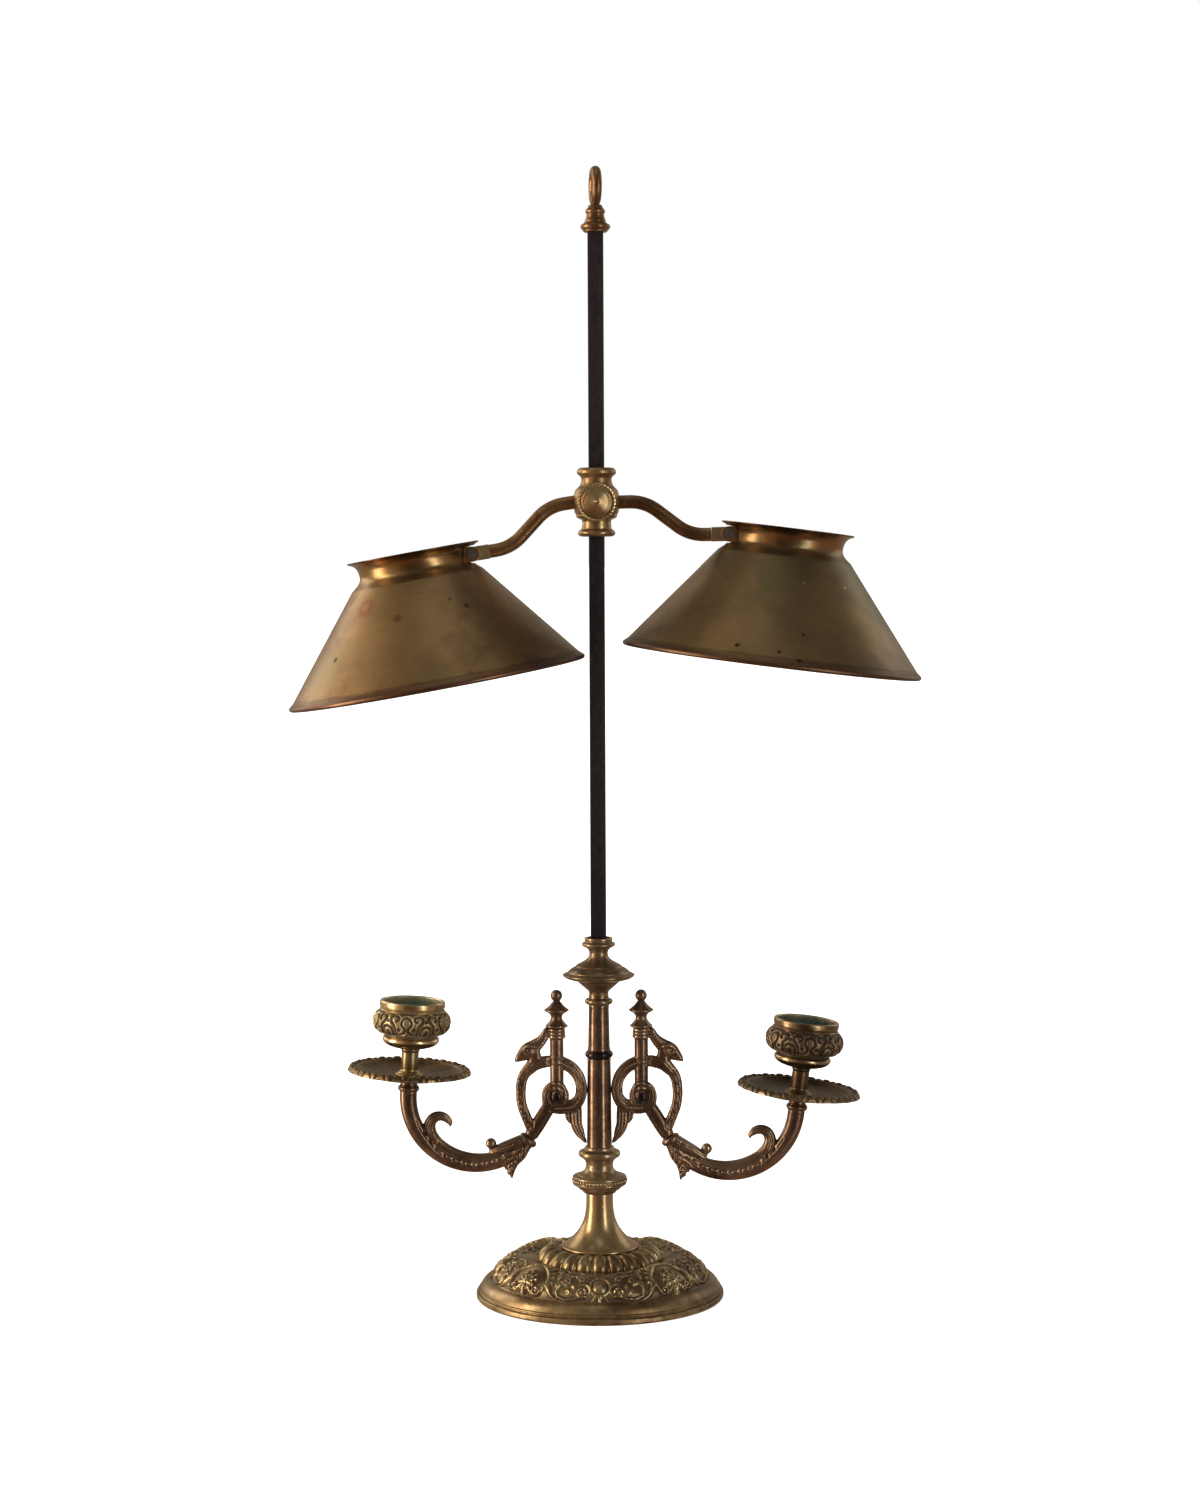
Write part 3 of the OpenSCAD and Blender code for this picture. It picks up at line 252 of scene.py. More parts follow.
class Relief:
    """Strokes given as rows (x, y, half width, height); the tallest one counts."""

    def __init__(self, fullness=0.7):
        self.paths, self.fullness = [], fullness

    def stroke(self, points, width, height, steps=6, taper=(1.0, 1.0), dip=0.0):
        rows = through([(x, y) for x, y in points], steps)
        t = np.linspace(0, 1, len(rows))
        swell = np.interp(t, [0, 0.5, 1], [taper[0], 1.0, taper[1]])
        self.paths.append((np.column_stack([rows, width * swell, height * (0.4 + 0.6 * swell)]), dip))
        return rows

    def curl(self, x, y, radius, start, sweep, width, height, tail=()):
        """A scroll that winds inwards from its rim to an eye."""
        t = np.linspace(0, 1, 26)
        a = np.radians(start + sweep * t)
        r = radius * (1 - 0.8 * t ** 0.9)
        points = list(tail) + [(x + q * math.cos(b), y + q * math.sin(b)) for q, b in zip(r, a)]
        rows = np.array(points)
        swell = np.linspace(1, 0.6, len(rows))
        self.paths.append((np.column_stack([rows, width * swell, height * (0.7 + 0.3 * swell)]), 0.0))
        self.dot(x, y, width * 0.85, height * 1.15)

    def dot(self, x, y, radius, height):
        self.paths.append((np.array([(x, y, radius, height), (x + 1e-3, y, radius, height)]), 0.0))

    def ring(self, x, y, radius, width, height, tall=1.0):
        rows = [(x + radius * math.cos(a), y + tall * radius * math.sin(a), width, height)
                for a in np.linspace(0, 2 * np.pi, 33)]
        self.paths.append((np.array(rows), 0.0))

    def leaf(self, x, y, heading, length, width, height, lobes=4, bend=0.0):
        """A leaf with a rib and lobes that shrink towards its tip."""
        rib = []
        for t in np.linspace(0, 1, lobes + 2):
            a = math.radians(heading + bend * t)
            rib.append((x + length * t * math.cos(a), y + length * t * math.sin(a)))
        self.stroke(rib, width * 0.28, height, taper=(1.0, 0.4))
        for i in range(lobes):
            t = (i + 0.6) / (lobes + 0.6)
            a = heading + bend * t
            px = x + length * t * math.cos(math.radians(a))
            py = y + length * t * math.sin(math.radians(a))
            size = width * (1 - 0.45 * t)
            for sign in (-1, 1):
                b = math.radians(a + sign * 52)
                c = math.radians(a + sign * 20)
                mid = (px + 0.55 * size * math.cos(b), py + 0.55 * size * math.sin(b))
                tip = (mid[0] + 0.55 * size * math.cos(c), mid[1] + 0.55 * size * math.sin(c))
                self.stroke([(px, py), mid, tip], size * 0.26, height * 0.85, steps=4, taper=(0.9, 0.55))

    def heights(self, x, y):
        top = np.zeros(len(x))
        for rows, dip in self.paths:
            reach = rows[:, 2].max()
            near = np.flatnonzero((x > rows[:, 0].min() - reach) & (x < rows[:, 0].max() + reach)
                                  & (y > rows[:, 1].min() - reach) & (y < rows[:, 1].max() + reach))
            if not len(near):
                continue
            px, py = x[near], y[near]
            best = np.zeros(len(near))
            for (x0, y0, w0, h0), (x1, y1, w1, h1) in zip(rows, rows[1:]):
                dx, dy = x1 - x0, y1 - y0
                t = np.clip(((px - x0) * dx + (py - y0) * dy) / (dx * dx + dy * dy + 1e-12), 0, 1)
                share = np.hypot(px - x0 - t * dx, py - y0 - t * dy) / (w0 + (w1 - w0) * t)
                body = np.clip(1 - share ** 2, 0, 1) ** self.fullness
                if dip:
                    body = body - dip * np.exp(-(share / 0.38) ** 2)
                best = np.maximum(best, (h0 + (h1 - h0) * t) * body)
            top[near] = np.maximum(top[near], best)
        return top


# ---- from shells to Blender meshes ----


def plain_mesh(name, points, faces):
    mesh = bpy.data.meshes.new(name)
    mesh.from_pydata(np.asarray(points).tolist(), [], faces if isinstance(faces, list) else faces.tolist())
    body = bmesh.new()
    body.from_mesh(mesh)
    bmesh.ops.remove_doubles(body, verts=body.verts, dist=1e-4)
    bmesh.ops.dissolve_degenerate(body, edges=body.edges, dist=1e-5)
    bmesh.ops.recalc_face_normals(body, faces=body.faces)
    body.to_mesh(mesh)
    body.free()
    return mesh


def arrays(mesh):
    co = np.empty(len(mesh.vertices) * 3)
    mesh.vertices.foreach_get("co", co)
    no = np.empty(len(mesh.vertices) * 3)
    mesh.vertices.foreach_get("normal", no)
    ends = np.empty(len(mesh.edges) * 2, int)
    mesh.edges.foreach_get("vertices", ends)
    return co.reshape(-1, 3), no.reshape(-1, 3), ends.reshape(-1, 2)


def averaged(values, ends, count, rounds=1, share=1.0):
    """Each vertex's value moved towards the mean of its neighbours."""
    weight = np.bincount(ends.ravel(), minlength=count).astype(float) + 1e-9
    values = np.array(values, float)
    flat = values.reshape(count, -1)
    for _ in range(rounds):
        for k in range(flat.shape[1]):
            total = (np.bincount(ends[:, 0], flat[ends[:, 1], k], count)
                     + np.bincount(ends[:, 1], flat[ends[:, 0], k], count))
            flat[:, k] += share * (total / weight - flat[:, k])
    return flat.reshape(values.shape)


def wear_and_shade_of(mesh, strength=1.0, blur=2):
    """How exposed each vertex is: 0 in a recess, 0.5 on the flat, 1 on an edge."""
    co, no, ends = arrays(mesh)
    count = len(co)
    length = np.linalg.norm(co[ends[:, 0]] - co[ends[:, 1]], axis=1)
    weight = np.bincount(ends.ravel(), minlength=count) + 1e-9
    size = (np.bincount(ends[:, 0], length, count) + np.bincount(ends[:, 1], length, count)) / weight
    mean = averaged(co, ends, count)
    bulge = -((mean - co) * no).sum(1) / (size ** 2 + 1e-9)
    bulge = averaged(bulge, ends, count, blur, 0.7)
    return 0.5 + 0.5 * np.tanh(strength * 1.6 * bulge)


def put_values(mesh, name, values):
    layer = mesh.attributes.get(name) or mesh.attributes.new(name, "FLOAT", "POINT")
    layer.data.foreach_set("value", np.asarray(values, np.float32))


def finish_piece(name, mesh, place, finish, body, replaces=(), sharp=38.0):
    """Sets a mesh that is drawn in millimetres in its place and gives it to its body."""
    mesh.name = name
    m = Matrix.Scale(MM, 4) @ place
    mesh.transform(m)
    if m.determinant() < 0:
        mesh.flip_normals()
    mesh.polygons.foreach_set("use_smooth", np.ones(len(mesh.polygons), bool))
    mesh.set_sharp_from_angle(angle=math.radians(sharp))
    mesh.materials.clear()
    mesh.materials.append(finish)
    piece = bpy.data.objects.new(name, mesh)
    bpy.context.scene.collection.objects.link(piece)
    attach(piece, body)
    if replaces:
        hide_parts(*replaces)
    return piece


def make(name, shells, place, finish, body, replaces=(), wear=1.0, blur=2, sharp=38.0, extra=None):
    mesh = plain_mesh(name, *joined(shells))
    put_values(mesh, "wear", wear_and_shade_of(mesh, wear, blur))
    if extra:
        co = arrays(mesh)[0]
        for key, rule in extra.items():
            put_values(mesh, key, rule(co))
    return finish_piece(name, mesh, place, finish, body, replaces, sharp)


def cast(name, shells, voxel, smooth=3, carve=None):
    """Overlapping shells run together as one casting, then chased by `carve`."""
    mesh = plain_mesh(name, *joined(shells))
    holder = bpy.data.objects.new(name, mesh)
    bpy.context.scene.collection.objects.link(holder)
    remesh = holder.modifiers.new("run together", "REMESH")
    remesh.mode, remesh.voxel_size, remesh.adaptivity = "VOXEL", voxel, 0.0
    result = bpy.data.meshes.new_from_object(holder.evaluated_get(bpy.context.evaluated_depsgraph_get()))
    bpy.data.objects.remove(holder)
    co, no, ends = arrays(result)
    co = averaged(co, ends, len(co), smooth, 0.5)
    result.vertices.foreach_set("co", co.ravel())
    result.update()
    if carve:
        co, no, ends = arrays(result)
        depth = averaged(carve(co, no), ends, len(co), 1, 0.5)
        result.vertices.foreach_set("co", (co + no * depth[:, None]).ravel())
        result.update()
    put_values(result, "wear", wear_and_shade_of(result, 1.15, 4))
    return result


# ---- Geometry Nodes for what repeats ----


class Tree:
    """A Geometry Nodes tree with named inputs."""

    def __init__(self, name):
        self.group = bpy.data.node_groups.new(name, "GeometryNodeTree")
        self.group.interface.new_socket("Geometry", in_out="INPUT", socket_type="NodeSocketGeometry")
        self.group.interface.new_socket("Geometry", in_out="OUTPUT", socket_type="NodeSocketGeometry")
        self.source = None

    def size(self, name, kind):
        self.group.interface.new_socket(name, in_out="INPUT", socket_type=kind)

    def node(self, kind, settings=None, values=None):
        made = self.group.nodes.new(kind)
        for key, value in (settings or {}).items():
            setattr(made, key, value)
        for key, value in (values or {}).items():
            if isinstance(value, bpy.types.NodeSocket):
                self.group.links.new(value, made.inputs[key])
            else:
                made.inputs[key].default_value = value
        return made

    def inputs(self):
        self.source = self.source or self.group.nodes.new("NodeGroupInput")
        return self.source.outputs

    def end(self, geometry):
        whole = self.node("GeometryNodeRealizeInstances", values={"Geometry": geometry})
        coated = self.node("GeometryNodeSetMaterial", values={
            "Geometry": whole.outputs[0], "Material": self.inputs()["Material"]})
        out = self.group.nodes.new("NodeGroupOutput")
        self.group.links.new(coated.outputs[0], out.inputs[0])


def round_row_tree():
    """Copies of one piece set around the Z axis."""
    tree = Tree("round_row")
    tree.size("Count", "NodeSocketInt")
    tree.size("Turn", "NodeSocketFloat")
    tree.size("Material", "NodeSocketMaterial")
    given = tree.inputs()
    spots = tree.node("GeometryNodeMeshLine", values={"Count": given["Count"], "Offset": (0, 0, 0)})
    index = tree.node("GeometryNodeInputIndex")
    share = tree.node("ShaderNodeMath", {"operation": "DIVIDE"}, {0: index.outputs[0], 1: given["Count"]})
    angle = tree.node("ShaderNodeMath", {"operation": "MULTIPLY_ADD"},
                      {0: share.outputs[0], 1: 2 * math.pi, 2: given["Turn"]})
    turn = tree.node("FunctionNodeAxisAngleToRotation", values={"Axis": (0, 0, 1), "Angle": angle.outputs[0]})
    copies = tree.node("GeometryNodeInstanceOnPoints", values={
        "Points": spots.outputs[0], "Instance": given["Geometry"], "Rotation": turn.outputs[0]})
    tree.end(copies.outputs[0])
    return tree.group


def bead_row_tree():
    """Beads spaced evenly along a line."""
    tree = Tree("bead_row")
    tree.size("Count", "NodeSocketInt")
    tree.size("Bead", "NodeSocketFloat")
    tree.size("Material", "NodeSocketMaterial")
    given = tree.inputs()
    line = tree.node("GeometryNodeMeshToCurve", values={"Mesh": given["Geometry"]})
    spaced = tree.node("GeometryNodeResampleCurve", values={"Curve": line.outputs[0], "Count": given["Count"]})
    bead = tree.node("GeometryNodeMeshUVSphere", values={"Segments": 10, "Rings": 7, "Radius": given["Bead"]})
    copies = tree.node("GeometryNodeInstanceOnPoints", values={
        "Points": spaced.outputs[0], "Instance": bead.outputs[0]})
    tree.end(copies.outputs[0])
    return tree.group


ROUND_ROW, BEAD_ROW = round_row_tree(), bead_row_tree()


def grown(name, mesh, group, sizes):
    """The plain mesh that a tree makes of a piece, for the sizes given by name."""
    holder = bpy.data.objects.new(name, mesh)
    bpy.context.scene.collection.objects.link(holder)
    modifier = holder.modifiers.new("grown", "NODES")
    modifier.node_group = group
    named = {s.name: s.identifier for s in group.interface.items_tree if s.in_out == "INPUT"}
    for key, value in sizes.items():
        modifier[named[key]] = value
    result = bpy.data.meshes.new_from_object(holder.evaluated_get(bpy.context.evaluated_depsgraph_get()))
    holder.modifiers.remove(modifier)
    bpy.data.objects.remove(holder)
    return result


def row_around(name, shells, count, place, finish, body, turn=0.0, wear=1.0, replaces=()):
    seed = plain_mesh(name, *joined(shells))
    put_values(seed, "wear", wear_and_shade_of(seed, wear, 1))
    result = grown(name, seed, ROUND_ROW, {"Count": count, "Turn": math.radians(turn), "Material": finish})
    return finish_piece(name, result, place, finish, body, replaces)


def beads_along(name, path, count, bead, place, finish, body, closed=False):
    line = bpy.data.meshes.new(name)
    points = np.asarray(path, float)
    edges = [(i, i + 1) for i in range(len(points) - 1)]
    if closed:
        edges.append((len(points) - 1, 0))
    line.from_pydata(points.tolist(), edges, [])
    result = grown(name, line, BEAD_ROW, {"Count": count, "Bead": bead, "Material": finish})
    put_values(result, "wear", np.full(len(result.vertices), 0.7))
    return finish_piece(name, result, place, finish, body)


# ---- finishes ----


def shade_of(text):
    """A colour written as it looks on a screen, made linear."""
    parts = [int(text[i:i + 2], 16) / 255 for i in (0, 2, 4)]
    return tuple(c / 12.92 if c <= 0.04045 else ((c + 0.055) / 1.055) ** 2.4 for c in parts) + (1.0,)


class Level:
    """A node's number, which takes part in sums."""

    def __init__(self, finish, socket):
        self.finish, self.socket = finish, socket

    def _sum(self, operation, first, second, third=None):
        values = {0: first, 1: second}
        if third is not None:
            values[2] = third
        return self.finish.node("ShaderNodeMath", {"operation": operation}, values)

    def __add__(self, other):
        return self._sum("ADD", self, other)

    def __radd__(self, other):
        return self._sum("ADD", other, self)

    def __sub__(self, other):
        return self._sum("SUBTRACT", self, other)

    def __rsub__(self, other):
        return self._sum("SUBTRACT", other, self)

    def __mul__(self, other):
        return self._sum("MULTIPLY", self, other)

    def __rmul__(self, other):
        return self._sum("MULTIPLY", other, self)

    def __truediv__(self, other):
        return self._sum("DIVIDE", self, other)

    def __pow__(self, other):
        return self._sum("POWER", self, other)


class Finish:
    """A material in the making."""

    def __init__(self, name):
        self.material = bpy.data.materials.new(name)
        self.material.use_nodes = True
        self.tree = self.material.node_tree
        self.tree.nodes.clear()
        self.object_place = self.node("ShaderNodeTexCoord", out="Object")

    def node(self, kind, settings=None, values=None, out=0):
        made = self.tree.nodes.new(kind)
        for key, value in (settings or {}).items():
            if key == "stops":
                ramp = made.color_ramp
                while len(ramp.elements) < len(value):
                    ramp.elements.new(0.5)
                for element, (at, colour) in zip(ramp.elements, value):
                    element.position, element.color = at, colour
            else:
                setattr(made, key, value)
        for key, value in (values or {}).items():
            if isinstance(value, Level):
                self.tree.links.new(value.socket, made.inputs[key])
            else:
                made.inputs[key].default_value = value
        return Level(self, made.outputs[out]) if len(made.outputs) else None

    def placed(self, stretch=(1, 1, 1), turn=(0, 0, 0), move=(0, 0, 0)):
        return self.node("ShaderNodeMapping", values={
            "Vector": self.object_place, "Scale": stretch, "Rotation": turn, "Location": move})

    def noise(self, per_metre, detail=3.0, rough=0.55, place=None, warp=0.0):
        return self.node("ShaderNodeTexNoise", values={
            "Vector": place or self.object_place, "Scale": per_metre, "Detail": detail,
            "Roughness": rough, "Distortion": warp})

    def cells(self, per_metre, place=None):
        return self.node("ShaderNodeTexVoronoi", values={
            "Vector": place or self.object_place, "Scale": per_metre})

    def between(self, level, low, high, smooth=True):
        """0 below `low`, 1 above `high`."""
        return self.node("ShaderNodeMapRange", {"interpolation_type": "SMOOTHSTEP" if smooth else "LINEAR"},
                         {"Value": level, "From Min": low, "From Max": high})

    def held(self, name):
        return self.node("ShaderNodeAttribute", {"attribute_name": name}, out="Fac")

    def blend(self, first, second, share):
        return self.node("ShaderNodeMix", {"data_type": "RGBA", "clamp_factor": True},
                         {0: share, 6: first, 7: second}, out=2)

    def spot(self, x, y, z, radius, soft=0.5, ragged=None):
        """1 inside a round spot at a place in millimetres, 0 outside it."""
        gap = self.node("ShaderNodeVectorMath", {"operation": "DISTANCE"},
                        {0: self.object_place, 1: (x * MM, y * MM, z * MM)}, out="Value")
        if ragged is not None:
            gap = gap + (ragged - 0.5) * (radius * MM * 0.7)
        return 1 - self.between(gap, radius * MM * (1 - soft), radius * MM)

    def done(self, colour, roughness, metallic, height, bump=0.12, depth=0.0004, glow=None):
        normal = self.node("ShaderNodeBump", values={"Strength": bump, "Distance": depth, "Height": height})
        values = {"Base Color": colour, "Roughness": roughness, "Metallic": metallic, "Normal": normal}
        if glow is not None:
            values.update({"Emission Color": glow, "Emission Strength": 1.0})
        surface = self.node("ShaderNodeBsdfPrincipled", values=values)
        self.node("ShaderNodeOutputMaterial", values={"Surface": surface})
        return self.material


def old_brass(name, light, body, brown, recess, edge, rough=0.36, worn_and_shaded=True, tone=(0.42, 0.62), bite=1.0, bump=0.07,
              grain=1.0):
    """Brass under an uneven patina, darker in its recesses, as patina and as painted shade, and bright where hands rub
    it.
    """
    f = Finish(name)
    broad, mottle = f.noise(22, 3), f.noise(95, 4, 0.6, warp=0.4)
    fine, grit = f.noise(420, 3, 0.6), f.noise(1600, 2, 0.6)
    mix = broad * 0.45 + mottle * 0.4 + fine * 0.15
    colour = f.blend(shade_of(body), shade_of(brown), f.between(mix, *tone))
    colour = f.blend(colour, shade_of(light), f.between(1 - mix, tone[0] + 0.03, tone[1] + 0.12) * 0.8)
    freckles = f.between(fine * 0.6 + grit * 0.4, 0.58, 0.70)
    colour = f.blend(colour, shade_of(recess), freckles * (0.28 * grain))
    roughness = rough + (mottle - 0.5) * 0.22 + freckles * (0.12 * grain)
    metallic = 0.92 - freckles * 0.1
    if worn_and_shaded:
        held = f.held("wear") + (fine - 0.5) * (0.22 * grain)
        deep = 1 - f.between(held, 0.10, 0.48)
        high = f.between(held, 0.56, 0.86)
        # hollows take the recess colour: dark patina, and painted shade as well
        colour = f.blend(colour, shade_of(recess), deep * (0.9 * bite))
        colour = f.blend(colour, shade_of(edge), high * 0.75)
        roughness = roughness + deep * 0.25 - high * 0.08
        metallic = metallic - deep * 0.35
    height = mottle * 0.55 + fine * 0.33 + grit * 0.12
    return f.done(colour, roughness, metallic, height, bump)




BASE = old_brass("base_brass", "b09873", "8b734f", "654d34", "1d150d", "cbb58c", 0.34, tone=(0.40, 0.60), grain=0.8)
AGED = old_brass("aged_brass", "b39c7c", "8d7658", "68533c", "261c14", "ccb793", 0.30)
COLUMN = old_brass("column_brass", "987c67", "755b49", "4f3b2f", "1a130e", "b0967c", 0.22, bite=0.8, bump=0.03,
                   grain=0.3)
DARK = old_brass("dark_bronze", "9b8168", "785d49", "4f3b2e", "140f0c", "bfa488", 0.30, bump=0.06)
NEARLY_BLACK = old_brass("mid_ring_bronze", "4a3c38", "35292a", "241c1e", "120e0f", "6d5a52", 0.24)
# left and right copies of one brass: the right ones darker, as painted shade for light falling from the left
PAN = {"left": old_brass("pan_brass_left", "8e7655", "6e573b", "483726", "17110c", "957d5c", 0.37),
       "right": old_brass("pan_brass_right", "6e5a42", "54422e", "38291d", "120d09", "8c7454", 0.40)}
CUP = {"left": old_brass("cup_brass_left", "cbb488", "a89064", "80663f", "33260f", "e2d0a4", 0.30),
       "right": old_brass("cup_brass_right", "a08866", "7c654a", "594430", "1d1610", "bfa884", 0.32)}
SLIDER = old_brass("slider_brass", "bca680", "957c56", "7c5838", "2a1d13", "bfaa80", 0.33, grain=0.7)
TUBE = old_brass("arm_brass", "a38661", "815f3f", "60422b", "281b12", "bfa278", 0.30, grain=0.7)
# painted highlight: the hinge's barrel and block are lighter than the arm, standing in for their lit faces, over brass
# rubbed bright
BARREL = old_brass("barrel_brass", "e6d3ae", "cbb085", "9a7a54", "2f2216", "f2e4c4", 0.32)
BLOCK = old_brass("block_brass", "bfab86", "9b8765", "6d5a42", "241c15", "d2be98", 0.38)
PIN_STEEL = old_brass("pin_steel", "8f8c86", "6f6b65", "4a4642", "211f1d", "b5b1aa", 0.38, worn_and_shaded=False)


def blackened_iron():
    f = Finish("blackened_iron")
    broad = f.noise(30, 3, place=f.placed((1, 1, 0.25)))
    fine = f.noise(700, 3, 0.6, place=f.placed((1, 1, 0.35)))
    grit = f.noise(2200, 2)
    wear = f.between(f.held("wear") + (fine - 0.5) * 0.3, 0.62, 0.95)
    colour = f.blend(shade_of("1a1416"), shade_of("271d1c"), f.between(broad * 0.6 + fine * 0.4, 0.42, 0.62))
    colour = f.blend(colour, shade_of("54433b"), wear * 0.3)
    rough = 0.46 + (fine - 0.5) * 0.25 - wear * 0.08
    return f.done(colour, rough, 0.55, fine * 0.6 + grit * 0.4, 0.16)


def spun_brass(name, body, brown, olive, warm, spots, rough=0.34):
    """Spun sheet: fine rings from the lathe, a painted warm reflection on the neck, stains and a dark rolled edge."""
    f = Finish(name)
    along = f.held("along")
    inside = f.held("inside")
    rings = f.node("ShaderNodeTexNoise", {"noise_dimensions": "1D"}, {"W": along * 2.6, "Scale": 1.0, "Detail": 4.0})
    hair = f.node("ShaderNodeTexNoise", {"noise_dimensions": "1D"}, {"W": along * 9.0, "Scale": 1.0, "Detail": 2.0})
    broad, mottle = f.noise(14, 3, 0.5), f.noise(70, 4, 0.6, warp=0.5)
    fine, grit = f.noise(380, 3, 0.6), f.noise(1500, 2)
    mix = broad * 0.5 + mottle * 0.25 + rings * 0.25
    colour = f.blend(shade_of(body), shade_of(brown), f.between(mix, 0.40, 0.60))
    colour = f.blend(colour, shade_of(olive), f.between(f.noise(19, 2, place=f.placed(move=(0.3, 0.1, 0))), 0.5, 0.66) * 0.7)
    # painted reflection: the neck is tinted towards the warm colour, standing in for warm light reflected there
    neck = 1 - f.between(along, 9, 17)
    colour = f.blend(colour, shade_of(warm), neck * f.between(mottle, 0.35, 0.7) * 0.7)
    lip = 1 - f.between(along, 0.4, 1.6)
    hem = f.between(along, SLANT - 3.2, SLANT - 1.2)
    colour = f.blend(colour, shade_of("2a2222"), lip * 0.75)
    colour = f.blend(colour, shade_of("5c3e33"), hem * 0.7)
    tide = f.between(along + (mottle - 0.5) * 3, SLANT - 5.2, SLANT - 3.4) * (1 - hem)
    colour = f.blend(colour, shade_of("3a2b1d"), tide * 0.45)
    freckles = f.between(fine * 0.55 + grit * 0.45, 0.60, 0.70)
    colour = f.blend(colour, shade_of("3b2a1c"), freckles * 0.4)
    for place, size, tint, share in spots:
        colour = f.blend(colour, shade_of(tint), f.spot(*place, size, 0.55, fine) * share)
    colour = f.blend(colour, shade_of("3f2f1c"), inside * 0.8)
    roughness = rough + (mottle - 0.5) * 0.16 + (rings - 0.5) * 0.10 + freckles * 0.1 - neck * 0.08 + inside * 0.15
    height = rings * 0.5 + hair * 0.25 + fine * 0.15 + grit * 0.1
    return f.done(colour, roughness, 1.0 - freckles * 0.15, height, 0.07, 0.0003)


# ---- base ----


def dome_point(along, turn):
    """A place on the dome, `along` millimetres in from the band."""
    a = math.radians(DOME_FROM) + along / DOME_R
    r, z = DOME_C[0] + DOME_R * math.cos(a), DOME_C[1] + DOME_R * math.sin(a)
    return r * math.cos(turn), r * math.sin(turn), z


def chased(outline, heights, inner):
    """A turned shell whose outline rows stand out by `heights` (rows by columns)."""
    rows = np.array(outline, float)
    way = np.gradient(rows, axis=0)
    way /= np.linalg.norm(way, axis=1)[:, None]
    out = np.column_stack([way[:, 1], -way[:, 0]])
    if (out[:, 0] * rows[:, 0]).sum() < 0 or (out[:, 1]).sum() < 0:
        out = -out
    steps = heights.shape[1]
    turn = np.linspace(0, 2 * np.pi, steps, endpoint=False)
    r = rows[:, :1] + out[:, :1] * heights
    z = rows[:, 1:2] + out[:, 1:2] * heights
    inside = np.array(inner, float)
    r = np.vstack([r, inside[:, :1] + 0 * turn])
    z = np.vstack([z, inside[:, 1:2] + 0 * turn])
    points = np.stack([r * np.cos(turn), r * np.sin(turn), z], -1).reshape(-1, 3)
    return points, sheet_faces(len(r), steps, wrap_rows=True)


DOME_LENGTH = math.radians(DOME_TO - DOME_FROM) * DOME_R


